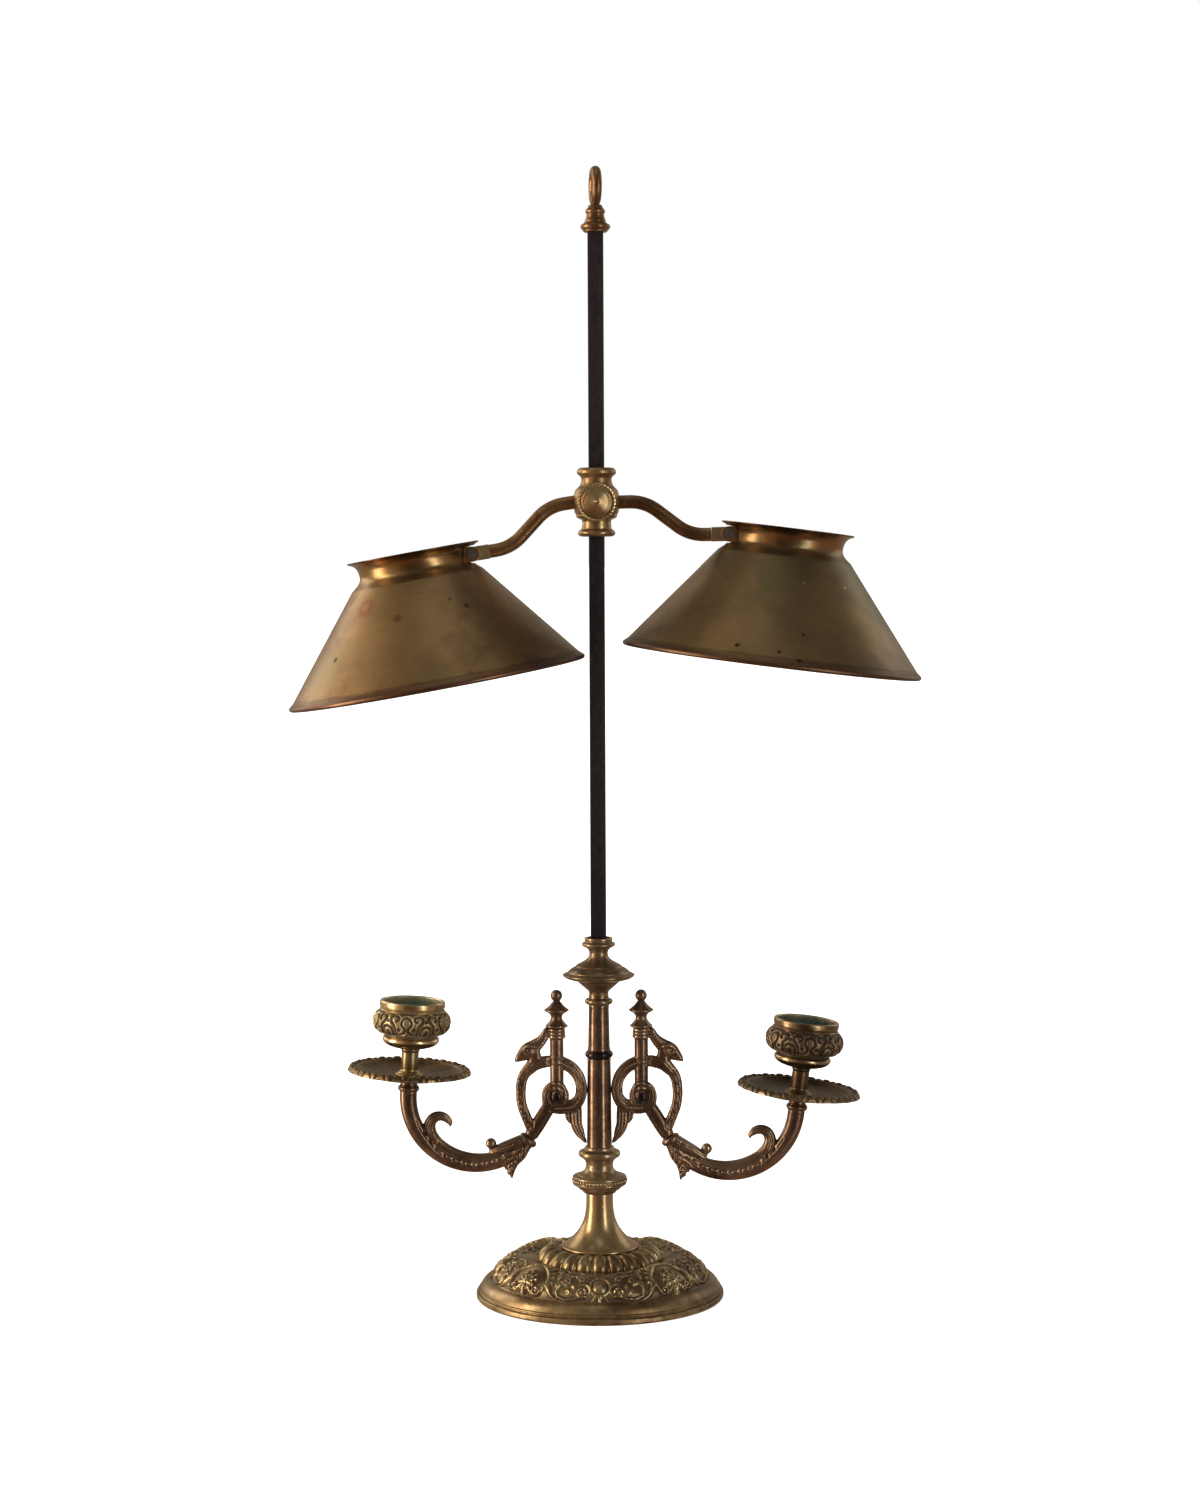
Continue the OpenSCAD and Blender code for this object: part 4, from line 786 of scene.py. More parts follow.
def dome_relief():
    """An eighth of the base's chasing: x runs round the dome, y inwards from the band."""
    w = Relief(0.6)
    # egg in its ring, with a leaf below it
    w.ring(0, 9.5, 4.7, 0.62, 1.15, tall=1.15)
    w.stroke([(0, 8.5), (0, 10.5)], 3.3, 1.7, taper=(1, 1))
    w.stroke([(0, 4.0), (0, 1.2)], 0.9, 1.1, taper=(1, 0.5))
    w.stroke([(0.6, 3.8), (2.3, 3.1), (3.4, 1.5)], 0.6, 1.0, taper=(0.8, 0.6))
    w.stroke([(1.0, 15.6), (2.6, 17.4), (5.4, 17.6), (7.0, 16.2)], 0.5, 0.9)
    # long scroll from under the egg to the frond, and the one above it
    w.curl(8.1, 6.2, 2.7, 240, 560, 0.58, 1.4, tail=((19.4, 3.0), (15.6, 1.9), (12.0, 2.3), (9.0, 3.4)))
    w.stroke([(4.6, 5.4), (5.0, 8.2), (6.6, 10.6), (9.8, 10.8)], 0.5, 1.1, taper=(0.6, 0.5))
    w.stroke([(19.2, 3.0), (20.4, 6.4), (18.8, 9.6), (15.6, 9.4)], 0.72, 1.5, taper=(0.6, 0.7))
    w.curl(16.6, 12.6, 2.4, 330, -520, 0.55, 1.3, tail=((21.0, 8.4), (20.6, 10.6)))
    w.curl(9.6, 14.2, 2.0, 20, 480, 0.5, 1.2, tail=((15.0, 16.2), (12.6, 16.4)))
    w.leaf(11.8, 8.0, 58, 3.0, 1.5, 1.0, lobes=2)
    w.leaf(12.6, 4.8, 22, 4.2, 1.7, 1.0, lobes=2, bend=30)
    # fronds that sweep up to the arch
    for k in range(6):
        w.stroke([(19.4 + 0.8 * k, 1.4 + 0.4 * k), (22.4 + 0.8 * k, 3.2 + 0.9 * k),
                  (24.2 + 0.55 * k, 6.8 + 1.3 * k)], 0.5, 1.45, taper=(0.4, 0.9))
    w.leaf(21.4, 13.2, 104, 6.0, 2.1, 1.3, lobes=3, bend=-24)
    # open arch across the diagonal, its back to the egg
    arch = [(37.7 + 11.6 * math.cos(math.radians(a)), 9.4 + 10.0 * math.sin(math.radians(a)))
            for a in range(104, 202, 14)]
    w.stroke(arch, 0.85, 1.7, steps=3, taper=(0.5, 1.0), dip=0.5)
    for k, (x, y) in enumerate(arch[1:6]):
        w.leaf(x - 0.4, y + 0.2, 128 + 22 * k, 3.2, 1.5, 1.25, lobes=2, bend=-30)
    w.curl(30.6, 4.6, 2.5, 190, 470, 0.62, 1.7, tail=((27.0, 8.4), (27.6, 6.0)))
    # leaves that spring from the middle of the arch
    for heading, length in ((92, 7.6), (122, 7.4), (152, 6.8), (184, 5.4)):
        w.leaf(37.7, 7.6, heading, length, 2.1, 1.9, lobes=3)
    w.leaf(37.7, 7.0, 266, 6.2, 2.3, 1.8, lobes=3)
    w.leaf(36.0, 6.2, 226, 6.2, 1.9, 1.6, lobes=3)
    w.dot(37.7, 7.6, 1.2, 2.3)
    # rays running up to the crown
    for k in range(7):
        x = 25.6 + 1.95 * k
        w.stroke([(x - 0.9, 20.4 - 0.25 * k), (x, 23.2), (x + 0.3, 27.4)], 0.72, 1.25, taper=(0.9, 0.4))
    w.stroke([(8.6, 19.4), (12.6, 21.6), (17.0, 20.4), (20.6, 22.8)], 0.6, 1.1)
    w.curl(22.6, 19.6, 1.9, 90, -450, 0.5, 1.2, tail=((17.0, 24.2), (20.0, 23.0)))
    w.stroke([(12.0, 25.0), (17.0, 26.2), (22.0, 26.0)], 0.55, 0.7, taper=(0.4, 0.4))
    return w


def base():
    steps, rows = 944, 82
    eighth = steps // 8
    along = np.linspace(-0.8, DOME_LENGTH, rows)
    fold = np.arange(eighth + 1)
    s, t = np.meshgrid(np.radians(fold * 45 / eighth) * 48, along)
    raised = dome_relief().heights(s.ravel(), t.ravel()).reshape(s.shape)
    mound = 2.3 * np.exp(-((s - 37.7) / 11) ** 2) * np.exp(-((t - 18.6) / 5.2) ** 2)
    hollow = -0.55 * np.exp(-((t - 2.0) / 1.6) ** 2)
    edge = np.clip((DOME_LENGTH - 1.0 - t) / 2.0, 0, 1) * np.clip((t + 0.4) / 1.4, 0, 1)
    part = (raised * 0.92 + mound) * edge + hollow
    blur = part.copy()
    for axis in (0, 1):
        blur = 0.5 * blur + 0.25 * (np.roll(blur, 1, axis) + np.roll(blur, -1, axis))
    blur[:, 0], blur[:, -1] = part[:, 0], part[:, -1]
    column = np.arange(steps)
    folded = np.abs((column + eighth) % (2 * eighth) - eighth)
    whole = blur[:, folded]
    a = math.radians(DOME_FROM) + along / DOME_R
    outline = np.column_stack([DOME_C[0] + DOME_R * np.cos(a), DOME_C[1] + DOME_R * np.sin(a)])
    inner = [(24.0, CROWN_H), (24.0, CROWN_H - 3.4), (40.0, 16.2), (52.4, 9.0), (54.4, 6.4), (57.6, 6.8)]
    dome = chased(outline, whole, inner)
    rim = [(58.6, 0.6), (59.4, 0), (62.9, 0), (63.5, 0.7), (63.4, 2.7), (62.9, 3.1), (61.9, 3.2), (61.7, 3.6),
           (62.3, 4.0), (62.2, 4.6), (61.4, 4.9)]
    rim += arc((54.7, 3.2), 7.0, 14, 78, 14) + [(55.9, 9.9), (55.2, 9.4), (54.4, 8.8), (52.6, 7.4), (57.0, 2.2)]
    make("base_band_turned", [turned(eased(rim, 0.5, closed=True), 288)], CENTRE, BASE, "root",
         wear=1.7, blur=1, sharp=60)
    crown = turned(eased([(31.6, 17.1), (31.6, 17.9), (30.6, 18.3), (22.0, 18.3), (TIE_HOLE_R, 18.0), (TIE_HOLE_R, 14.7),
                          (24.6, 14.5), (30.0, 15.4)], 0.3, closed=True), 144)
    mesh = plain_mesh("base_cast", *joined([dome, crown]))
    flat = wear_and_shade_of(mesh, 1.7, 1)
    co = arrays(mesh)[0]
    reach = np.hypot(co[:, 0], co[:, 1])
    angle = np.arctan2(co[:, 2] - DOME_C[1], reach - DOME_C[0])
    depth = np.hypot(reach - DOME_C[0], co[:, 2] - DOME_C[1]) - DOME_R
    on_dome = (angle > math.radians(DOME_FROM + 4)) & (angle < math.radians(DOME_TO - 6)) & (depth > -1.2)
    # the ground between the raised work counts as recess, so it takes dark patina and painted shade
    wear = np.where(on_dome, flat * 0.62 + 0.38 * np.clip(0.16 + depth * 0.44, 0, 1), flat)
    put_values(mesh, "wear", wear)
    finish_piece("base_cast", mesh, CENTRE, BASE, "root", ["base_shell"], sharp=60)


def gadroons():
    period = 360 / GADROONS
    edge = GADROON_R

    def lobe(width, out, z0=18.05, top=24.4):
        """One gadroon: full and round below, drawn in towards the foot."""
        rows = []
        for t in np.linspace(0, 1, 11):
            a = math.radians(-18 + 108 * t)
            r = edge - GADROON_H * 1.06 + out + (GADROON_H * 1.06) * math.cos(a) * (1 if a > 0 else 0.985)
            z = z0 + (top - z0) * (0.5 - 0.5 * math.cos(math.pi * min(1, t * 1.02))) * 0.35 \
                + (top - z0) * 0.65 * max(0, math.sin(a))
            half = width * (0.62 + 0.38 * math.sin(math.pi * (0.16 + 0.5 * t))) * (r / edge)
            rows.append((r, z, half))
        ends = [(rows[0][0] - 1.2, rows[0][1] - 0.4, rows[0][2] * 0.5)] + rows
        cols = np.radians(np.linspace(-180, 180, 13)[:-1])
        points = []
        for k, (r, z, half) in enumerate(ends):
            a = math.radians(-18 + 108 * max(0, k - 1) / 10)
            for c in cols:
                lift = half * 0.62 * math.cos(c)
                lift = lift if lift > 0 else lift * 0.6
                points.append((r + lift * math.cos(a), half * math.sin(c), z + lift * math.sin(a)))
        points = np.array(points)
        faces = sheet_faces(len(ends), len(cols)).tolist()
        n = len(cols)
        faces.append(list(range(n))[::-1])
        faces.append(list(range((len(ends) - 1) * n, len(ends) * n)))
        return points, faces

    def stood(shell):
        points, faces = shell
        return points, faces

    half = math.pi * edge / GADROONS
    for name, width, out, turn in (("gadroon_lobes", half * 0.90, -0.35, 0), ("gadroon_darts", half * 0.17, 0.0, period / 2)):
        points, faces = stood(lobe(width, out))
        seed = plain_mesh(name, points, faces)
        put_values(seed, "wear", np.clip(wear_and_shade_of(seed, 0.8, 1) + 0.03, 0, 1))
        result = grown(name, seed, ROUND_ROW,
                       {"Count": GADROONS, "Turn": math.radians(turn - 90), "Material": BASE})
        finish_piece(name, result, CENTRE, BASE, "root",
                     ["gadroon_ring"] if name == "gadroon_lobes" else [])
    bed = [(12.5, 17.8), (29.6, 17.8), (30.3, 18.2), (30.3, 18.9), (29.4, 19.3)]
    bed += arc((22.4, 18.2), 6.4, 10, 84, 8) + [(21.6, 25.0), (12.5, 25.0)]
    make("gadroon_bed", [turned(eased(bed, 0.4, closed=True), 144)], CENTRE, BASE, "root", wear=0.9)


# ---- foot and column ----


def trumpet_foot():
    rows = [(TIE_HOLE_R, FOOT_Z), (19.4, FOOT_Z), (20.0, FOOT_Z + 0.45), (19.9, FOOT_Z + 1.15), (19.2, FOOT_Z + 1.6)]
    for t in np.linspace(0, 1, 30):
        rows.append((NECK_R + (18.6 - NECK_R) * (1 - t) ** 3.3, FOOT_Z + 1.75 + (FOOT_H - 1.75) * t))
    rows.append((TIE_HOLE_R, FOOT_Z + FOOT_H))
    make("trumpet_foot_turned", [turned(eased(rows, 0.3, closed=True), 160)], CENTRE, AGED_FOOT, "root",
         ["trumpet_foot"])


def lower_knop():
    z, h, r0, r1 = LOWER_KNOP_Z, LOWER_KNOP_H, NECK_R, LOWER_KNOP_R

    def at(swell, height):
        return r0 + (r1 - r0) * swell, z + h * height

    body = [at(0.04, 0), at(0.22, 0.02), at(0.28, 0.06), at(0.52, 0.10), at(0.60, 0.13), at(0.64, 0.16), at(0.86, 0.18),
            at(0.95, 0.205), at(0.97, 0.235), at(0.90, 0.245), at(0.90, 0.325), at(0.97, 0.335), at(0.95, 0.365),
            at(0.86, 0.385), at(0.62, 0.395), at(0.56, 0.415), at(0.30, 0.45), at(0.10, 0.50), at(0.02, 0.56),
            at(0.0, 0.62), at(0.05, 0.68), at(0.20, 0.745), at(0.36, 0.775), at(0.50, 0.80), at(0.54, 0.85),
            at(0.50, 0.90), at(0.34, 0.925), at(0.12, 0.94), at(0.10, 1)]
    make("lower_knop_turned", [bored(body, TIE_HOLE_R, 144, 0.5)], CENTRE, AGED, "root",
         ["lower_knop"], wear=0.8)
    turn = np.linspace(0, 2 * np.pi, 97)[:-1]
    rim = [((r1 - 0.75) * math.cos(a), (r1 - 0.75) * math.sin(a), z + 0.285 * h) for a in turn]
    beads_along("lower_knop_beads", rim, 46, 0.92, CENTRE, AGED, "root", closed=True)


def column():
    low = [(6.55, COLUMN_Z), (6.55, COLUMN_Z + 0.5), (6.4, COLUMN_Z + 1.0), (5.98, COLUMN_Z + COLUMN_H - 1.2),
           (6.1, COLUMN_Z + COLUMN_H - 0.6), (6.1, COLUMN_Z + COLUMN_H)]
    make("lower_column_turned", [bored(low, TIE_HOLE_R, 112, 0.3)], CENTRE, COLUMN, "root",
         ["lower_column"])
    z = MID_RING_Z
    ring = [(5.9, z), (5.95, z + 0.4), (6.3, z + 0.55)] + arc((5.45, z + 2.3), 1.75, -62, 62, 10) \
        + [(6.3, z + 4.05), (5.9, z + 4.2), (5.85, z + 4.6)]
    make("mid_ring_turned", [bored(ring, TIE_HOLE_R, 112, 0.15)], CENTRE, NEARLY_BLACK, "root",
         ["column_mid_ring"])
    z = UPPER_COLUMN_Z
    high = [(5.9, z), (5.75, z + 0.9), (5.55, z + 1.6), (5.15, z + 21.4), (5.3, z + 22.4), (5.3, z + 23.2)]
    make("upper_column_turned", [bored(high, TIE_HOLE_R, 112, 0.4)], CENTRE, COLUMN, "root",
         ["upper_column"])
    z = TOP_RING_Z
    ring = [(5.3, z), (5.9, z + 0.4)] + arc((5.75, z + 1.8), 1.45, -66, 66, 8) \
        + [(5.9, z + 3.2), (5.1, z + 3.45), (5.05, z + 5.4)]
    make("top_ring_turned", [bored(ring, TIE_HOLE_R, 112, 0.15)], CENTRE, AGED, "root",
         ["column_top_ring"])
    z = KNOP_Z
    knop = [(5.0, z), (5.1, z + 1.6), (7.0, z + 3.2), (9.2, z + 5.2), (10.4, z + 6.2), (10.5, z + 6.8), (13.0, z + 7.4),
            (16.2, z + 8.3), (17.6, z + 9.0), (18.35, z + 9.7), (18.4, z + 10.2), (17.2, z + 10.8), (15.9, z + 11.2),
            (15.7, z + 11.8), (14.2, z + 13.1), (11.9, z + 14.3), (11.6, z + 14.9), (9.9, z + 15.9),
            (7.4, z + 17.2), (5.7, z + 18.6), (4.8, z + 20.2), (4.7, z + 21.6), (5.4, z + 23.2), (6.7, z + 24.2),
            (7.9, z + 24.6), (8.6, z + 25.4), (8.5, z + 26.3), (7.2, z + 26.9), (6.9, z + 27.6), (7.3, z + 28.2),
            (7.1, z + 29.0), (6.7, z + 29.2)]
    bore = [(TIE_HOLE_R, z)] + knop + [(5.72, z + 29.2), (5.72, z + 24.7), (TIE_HOLE_R, z + 24.7)]
    make("upper_knop_turned", [turned(eased(bore, 0.55, closed=True), 144)], CENTRE, AGED, "root",
         ["upper_knop"])


def iron_rod():
    """Square bar with corners eased by the hammer."""
    half, soft = ROD_W / 2, 0.45
    corner = []
    for k in range(4):
        middle = 45 + 90 * k
        cx, cy = (half - soft) * math.copysign(1, math.cos(math.radians(middle))), \
            (half - soft) * math.copysign(1, math.sin(math.radians(middle)))
        corner += arc((cx, cy), soft, middle - 45, middle + 45, 3)
    low = KNOP_TOP - 4.5
    levels = np.concatenate([[low], np.linspace(low + 0.2, ROD_TOP - 0.2, 60), [ROD_TOP]])
    ring = np.array(corner)
    points, n = [], len(ring)
    for k, z in enumerate(levels):
        scale = 0.985 if k in (0, len(levels) - 1) else 1.0
        points.append(np.column_stack([ring * scale, np.full(n, z)]))
    faces = sheet_faces(len(levels), n).tolist()
    faces += [list(range(n))[::-1], list(range((len(levels) - 1) * n, len(levels) * n))]
    tie = solid([(3.0, 2.0), (3.0, low + 0.1)], 48, 0.3)
    make("square_rod", [(np.vstack(points), faces), tie], CENTRE, blackened_iron(), "root",
         ["centre_rod"])


def top_finial():
    z = ROD_TOP
    body = [(5.6, z), (6.2, z + 0.4), (6.25, z + 1.0), (6.9, z + 1.4), (7.5, z + 2.3), (7.55, z + 3.2), (6.9, z + 4.1),
            (5.7, z + 4.5), (5.4, z + 5.2), (5.3, z + 5.9), (4.8, z + 6.9), (4.5, z + 8.2), (4.4, z + 9.3), (4.9, z + 9.8),
            (5.05, z + 10.6), (4.7, z + 11.3), (4.0, z + 11.9), (3.7, z + 12.9), (3.0, z + 13.8)]
    make("rod_finial_turned", [solid(body, 96, 0.5)], CENTRE, TUBE, "root", ["rod_finial"])
    ring = torus(7.6, 2.5, 0, 96, 20)
    place = shift(0, 0, 564.4) @ spin(7) @ Matrix.Rotation(math.radians(90), 4, "Y")
    make("carrying_ring", [ring], place, TUBE, "root", ["finial_ring"], wear=0.5)


# ---- slider ----


def slider():
    z = COLLAR_Z
    rows = [(6.4, z), (8.4, z + 0.2), (9.4, z + 1.2), (9.45, z + 2.3), (8.6, z + 3.3), (7.6, z + 3.9), (7.5, z + 4.6),
            (7.25, z + 7.6), (7.6, z + 8.6), (8.9, z + 9.0), (10.2, z + 9.8), (10.5, z + 10.6), (10.3, z + 11.1),
            (11.0, z + 12.0), (11.5, z + 14.2), (11.7, z + 17.4), (11.5, z + 20.6), (10.9, z + 23.0), (10.2, z + 24.0),
            (9.6, z + 24.6), (8.5, z + 25.6), (7.8, z + 27.4), (7.6, z + 29.0), (8.0, z + 30.2), (9.2, z + 31.1),
            (9.95, z + 31.9), (9.9, z + 33.2), (9.1, z + 34.3), (8.0, z + 34.8), (6.4, z + 34.8)]
    hole = 4.15 * math.sqrt(2)
    body = turned(eased([(hole, z)] + rows + [(hole, z + 34.8)], 0.6, closed=True), 128)
    lining = []
    for zz in (z + 0.05, z + 34.75):
        lining += [(x * 4.15, y * 4.15, zz) for x, y in ((1, 1), (-1, 1), (-1, -1), (1, -1))]
        lining += [(x * 5.2, y * 5.2, zz) for x, y in ((1, 1), (-1, 1), (-1, -1), (1, -1))]
    faces = []
    for k in range(4):
        n = (k + 1) % 4
        faces += [(k, 4 + k, 4 + n, n), (8 + k, 8 + n, 12 + n, 12 + k),
                  (k, n, 8 + n, 8 + k), (4 + k, 12 + k, 12 + n, 4 + n)]
    sleeve = (np.array(lining, float), np.array(faces))
    make("slider_collar_turned", [body, sleeve], CENTRE, SLIDER, "slider", ["slider_collar"])
    # boss: a dished disc inside a rope
    b = BOSS_REACH
    disc = [(0, b - 7.2), (8.4, b - 7.2), (8.9, b - 5.0), (8.8, b - 2.2), (8.1, b - 1.6), (7.8, b - 0.6), (7.2, b - 0.25),
            (6.5, b - 0.15), (6.1, b - 0.5), (5.85, b - 1.1), (0, b - 1.1)]
    make("slider_boss_turned", [across(turned(eased(disc, 0.35), 96, loop=False), 0, SLIDER_Z)], CENTRE, SLIDER,
         "slider", ["slider_boss"])
    twist = []
    for k, t in enumerate(np.linspace(0, 1, 7)):
        a = math.radians(-9 + 18 * t)
        lift = 0.55 * (t - 0.5)
        twist.append(((8.75 + 1.1 * (t - 0.5)) * math.cos(a), (8.75 + 1.1 * (t - 0.5)) * math.sin(a), lift))
    spine = np.array(twist)
    ring, rows = [], []
    for k, p in enumerate(spine):
        size = 0.8 * math.sin(math.pi * (0.12 + 0.76 * k / 6)) ** 0.6
        out = np.array([p[0], p[1], 0]) / np.hypot(p[0], p[1])
        for c in np.radians(np.arange(0, 360, 45)):
            rows.append(p + size * (out * math.cos(c) + np.array([0, 0, 1]) * math.sin(c)))
    faces = sheet_faces(7, 8).tolist() + [list(range(8))[::-1], list(range(48, 56))]
    strand = (np.array(rows), faces)
    row_around("slider_rope", [strand], 30, shift(0, -b + 1.6, SLIDER_Z) @ Matrix.Rotation(math.radians(90), 4, "X"),
               SLIDER, "slider", wear=0.9)
    # clamp screw with its coned button
    s = b + 0.1
    button = [(0, b - 9.0), (1.2, b - 9.0), (1.2, b - 7.3), (2.0, b - 7.2), (2.0, s), (6.9, s), (7.25, s + 0.35),
              (7.1, s + 0.8), (6.5, s + 1.1), (6.2, s + 1.05), (5.7, s + 1.35), (4.0, s + 2.0), (2.2, s + 2.6),
              (1.2, s + 3.0), (0.9, s + 3.6), (0.5, s + 4.15), (0, s + 4.3)]
    make("clamp_screw_turned", [across(turned(eased(button, 0.4), 80, loop=False), 0, SLIDER_Z)], CENTRE, SLIDER,
         "clamp_screw", ["clamp_screw"])


def shade_arm(side):
    """Swan-necked tube from the collar to the shade's hinge."""
    a = math.radians(BEND_A)
    path = [(-2.0, 0.0), (0.0, 0.0), (LEAD_L, 0.0)]
    path += [(LEAD_L + BEND_R * math.sin(t), -BEND_R * (1 - math.cos(t))) for t in np.linspace(0, a, 12)[1:]]
    x0, z0 = path[-1]
    path += [(x0 + MID_L * t * math.cos(a), z0 - MID_L * t * math.sin(a)) for t in (0.33, 0.66, 1.0)]
    x1, z1 = path[-1]
    path += [(x1 + BEND_R * (math.sin(a) - math.sin(a - t)), z1 - BEND_R * (math.cos(a - t) - math.cos(a)))
             for t in np.linspace(0, a, 12)[1:]]
    x2, z2 = path[-1]
    path += [(x2 + TAIL_L * 0.5, z2), (x2 + TAIL_L, z2)]
    rows = [(x, z, 3.4, 3.4) for x, z in path]
    tube = drawn(rows, 2.0, 32)
    place = shade_arm_place(side)
    make(f"shade_arm_{side}_drawn", [tube], place, TUBE, "slider", [f"shade_arm_{side}"],
         wear=0.6)


def rounded_block(x0, x1, half_y, half_z, soft=0.35):
    """A small block with eased edges, drawn along X."""
    rows = [(x0, 0, half_z - soft, half_y - soft), (x0 + soft, 0, half_z, half_y), (x1 - soft, 0, half_z, half_y),
            (x1, 0, half_z - soft, half_y - soft)]
    p = np.array(rows, float)
    outline = []
    for k in range(4):
        middle = 45 + 90 * k
        outline += [(math.copysign(1, math.cos(math.radians(middle))), math.copysign(1, math.sin(math.radians(middle))), t)
                    for t in (-1, 1)]
    points = []
    for x, z, hz, hy in p:
        for sx, sy, t in outline:
            first = (sx * sy > 0) == (t > 0)
            points.append((x, sx * (hy - (soft if first else 0)), sy * (hz - (0 if first else soft))))
    points = np.array(points)
    n = len(outline)
    faces = sheet_faces(4, n).tolist() + [list(range(n))[::-1], list(range(3 * n, 4 * n))]
    return points, faces


def hinge(side):
    place = hinge_place(side)
    x0 = -(BLOCK_L + BARREL_R - 1.2)
    block = rounded_block(x0, -1.6, BLOCK_H / 2, BLOCK_H / 2, 0.4)
    make(f"hinge_square_{side}", [block], place, BLOCK, "slider", [f"hinge_block_{side}"])
    half = BARREL_L / 2
    rows = [(1.55, -half), (3.3, -half), (3.75, -half + 0.4), (3.75, half - 0.4), (3.3, half), (1.55, half)]
    barrel = turned(eased(rows, 0.3, closed=True), 64)
    make(f"hinge_barrel_{side}", [across(barrel)], place, BARREL, "slider")


# ---- shades ----


def shade_outline():
    """The outside of the sheet from the lip's edge down to the rolled edge."""
    rows = [(LIP_R - 0.15, 0.1), (LIP_R, -0.3), (LIP_R - 0.35, -0.75), (32.4, -1.05), (30.9, -1.9), (29.75, -3.3),
            (29.1, -4.9), (28.8, -6.6), (28.75, -8.0), (29.0, -9.3), (29.7, -10.6), (30.8, -11.8), (32.5, -13.2)]
    top = np.array([33.8, -14.2])
    end = np.array([SHADE_R - ROLL_R + 0.45, -SHADE_H + ROLL_R + 0.6])
    rows += [tuple(top + (end - top) * t) for t in np.linspace(0, 1, 22)]
    return rows


SLANT = float(np.sum(np.hypot(*np.diff(np.array(shade_outline()), axis=0).T)))


def spun_shade():
    """The sheet with its rolled edge and the notch for the hinge, in the shade's own frame."""
    outer = eased(shade_outline(), 0.5)
    way = np.gradient(outer, axis=0)
    way /= np.linalg.norm(way, axis=1)[:, None]
    inward = np.column_stack([way[:, 1], -way[:, 0]])
    inner = (outer + inward * SHEET)[4:]
    inner[:, 1] = np.minimum(inner[:, 1], 0.0)
    hem = (SHADE_R - ROLL_R, -SHADE_H + ROLL_R)
    roll = arc(hem, ROLL_R, 60, -196, 16)
    loop = outer[:-1].tolist() + roll + inner[::-1].tolist()
    shell = turned(loop, 288)
    mesh = notched(plain_mesh("shade", *joined([shell])))
    co, no, _ = arrays(mesh)
    reach = np.hypot(co[:, 0], co[:, 1])
    line = np.array(outer)
    length = np.concatenate([[0], np.cumsum(np.hypot(*np.diff(line, axis=0).T))])
    gap = np.hypot(reach[:, None] - line[None, :, 0], co[:, 2:3] - line[None, :, 1])
    along = length[gap.argmin(1)]
    fine = np.interp(-co[:, 2], -line[::-1, 1][::-1], length)
    along = np.where(along > 20, fine, along)
    under = (no[:, 0] * co[:, 0] + no[:, 1] * co[:, 1]) / (reach + 1e-9) < -0.05
    hemmed = along > SLANT - 2.4
    put_values(mesh, "along", along)
    put_values(mesh, "inside", (under & ~hemmed).astype(float))
    put_values(mesh, "wear", wear_and_shade_of(mesh, 0.8, 2))
    return mesh


def shade(side, mesh):
    finish_piece(f"shade_{side}_spun", mesh.copy(), shade_place(side), SHADE_FINISH[side], f"{side}_shade",
                 [f"shade_{side}"], sharp=50)


def notched(mesh):
    """Cuts the room for the hinge out of the sheet."""
    px, pz = -PIVOT_R, -PIVOT_DROP
    room, ear = BARREL_R + 0.7, BARREL_L / 2 + 2.0
    round_part = moved(across(turned([(0, -ear), (room, -ear), (room, ear), (0, ear)], 48, loop=False)),
                       shift(px, 0, pz))
    corners = [(x, y, z) for x in (px - room * 3, px) for y in (-ear, ear) for z in (pz - room + 0.05, pz + room * 3)]
    square_part = (np.array(corners), [(0, 1, 3, 2), (4, 6, 7, 5), (0, 4, 5, 1), (2, 3, 7, 6), (0, 2, 6, 4),
                                       (1, 5, 7, 3)])
    cutters = []
    holder = bpy.data.objects.new("sheet", mesh)
    bpy.context.scene.collection.objects.link(holder)
    for shell in (round_part,):
        cutter = bpy.data.objects.new("cutter", plain_mesh("cutter", *shell))
        bpy.context.scene.collection.objects.link(cutter)
        boolean = holder.modifiers.new("notch", "BOOLEAN")
        boolean.operation, boolean.solver, boolean.object = "DIFFERENCE", "EXACT", cutter
        cutters.append(cutter)
    result = bpy.data.meshes.new_from_object(holder.evaluated_get(bpy.context.evaluated_depsgraph_get()))
    for piece in [holder] + cutters:
        bpy.data.objects.remove(piece)
    return result


# ---- scroll brackets ----

EYE = (-1.9, -3.2)
PILLAR_TOP = 26.9
BAND = [(1, 14.8, 3.1), (-4, 14.4, 3.1), (-9.4, 11.5, 3.1), (-13.2, 6.6, 3.0), (-14.5, 0.8, 2.95), (-13.6, -4.2, 3.0),
        (-10.6, -7.8, 3.4), (-6.4, -8.9, 3.3), (-1.6, -9.0, 3.2), (2.4, -6.8, 2.9), (3.6, -3.0, 2.4), (2.4, 0.8, 2.2),
        (-1.6, 2.6, 2.2), (-4.6, 1.0, 2.1), (-5.4, -2.4, 1.8), (-4.4, -5.2, 1.5), (-2.2, -6.2, 1.2)]
OUTER_C = [(10.4, 13.4, 3.2), (15.2, 7.2, 2.8), (16.6, 0, 2.65), (16.1, -7.3, 2.55), (13.8, -13.8, 2.6),
           (11.8, -18.9, 2.6)]
NECK = [(3.3, 32.2, 0.7), (3.5, 30.6, 1.9), (4.4, 27.9, 2.4), (6.4, 25.2, 2.9), (9.2, 22.8, 3.6), (11.8, 20.8, 4.3),
        (14.0, 19.2, 4.1), (16.6, 17.3, 2.7), (18.4, 15.8, 1.5), (19.3, 14.9, 0.4)]
FAN = [(-11.2, -8.6, 3.3), (-11.5, -13.0, 3.3), (-11.8, -17.4, 3.1), (-12.9, -20.6, 2.8), (-14.2, -23.4, 2.2),
       (-15.7, -25.8, 1.3), (-16.8, -27.3, 0.5)]


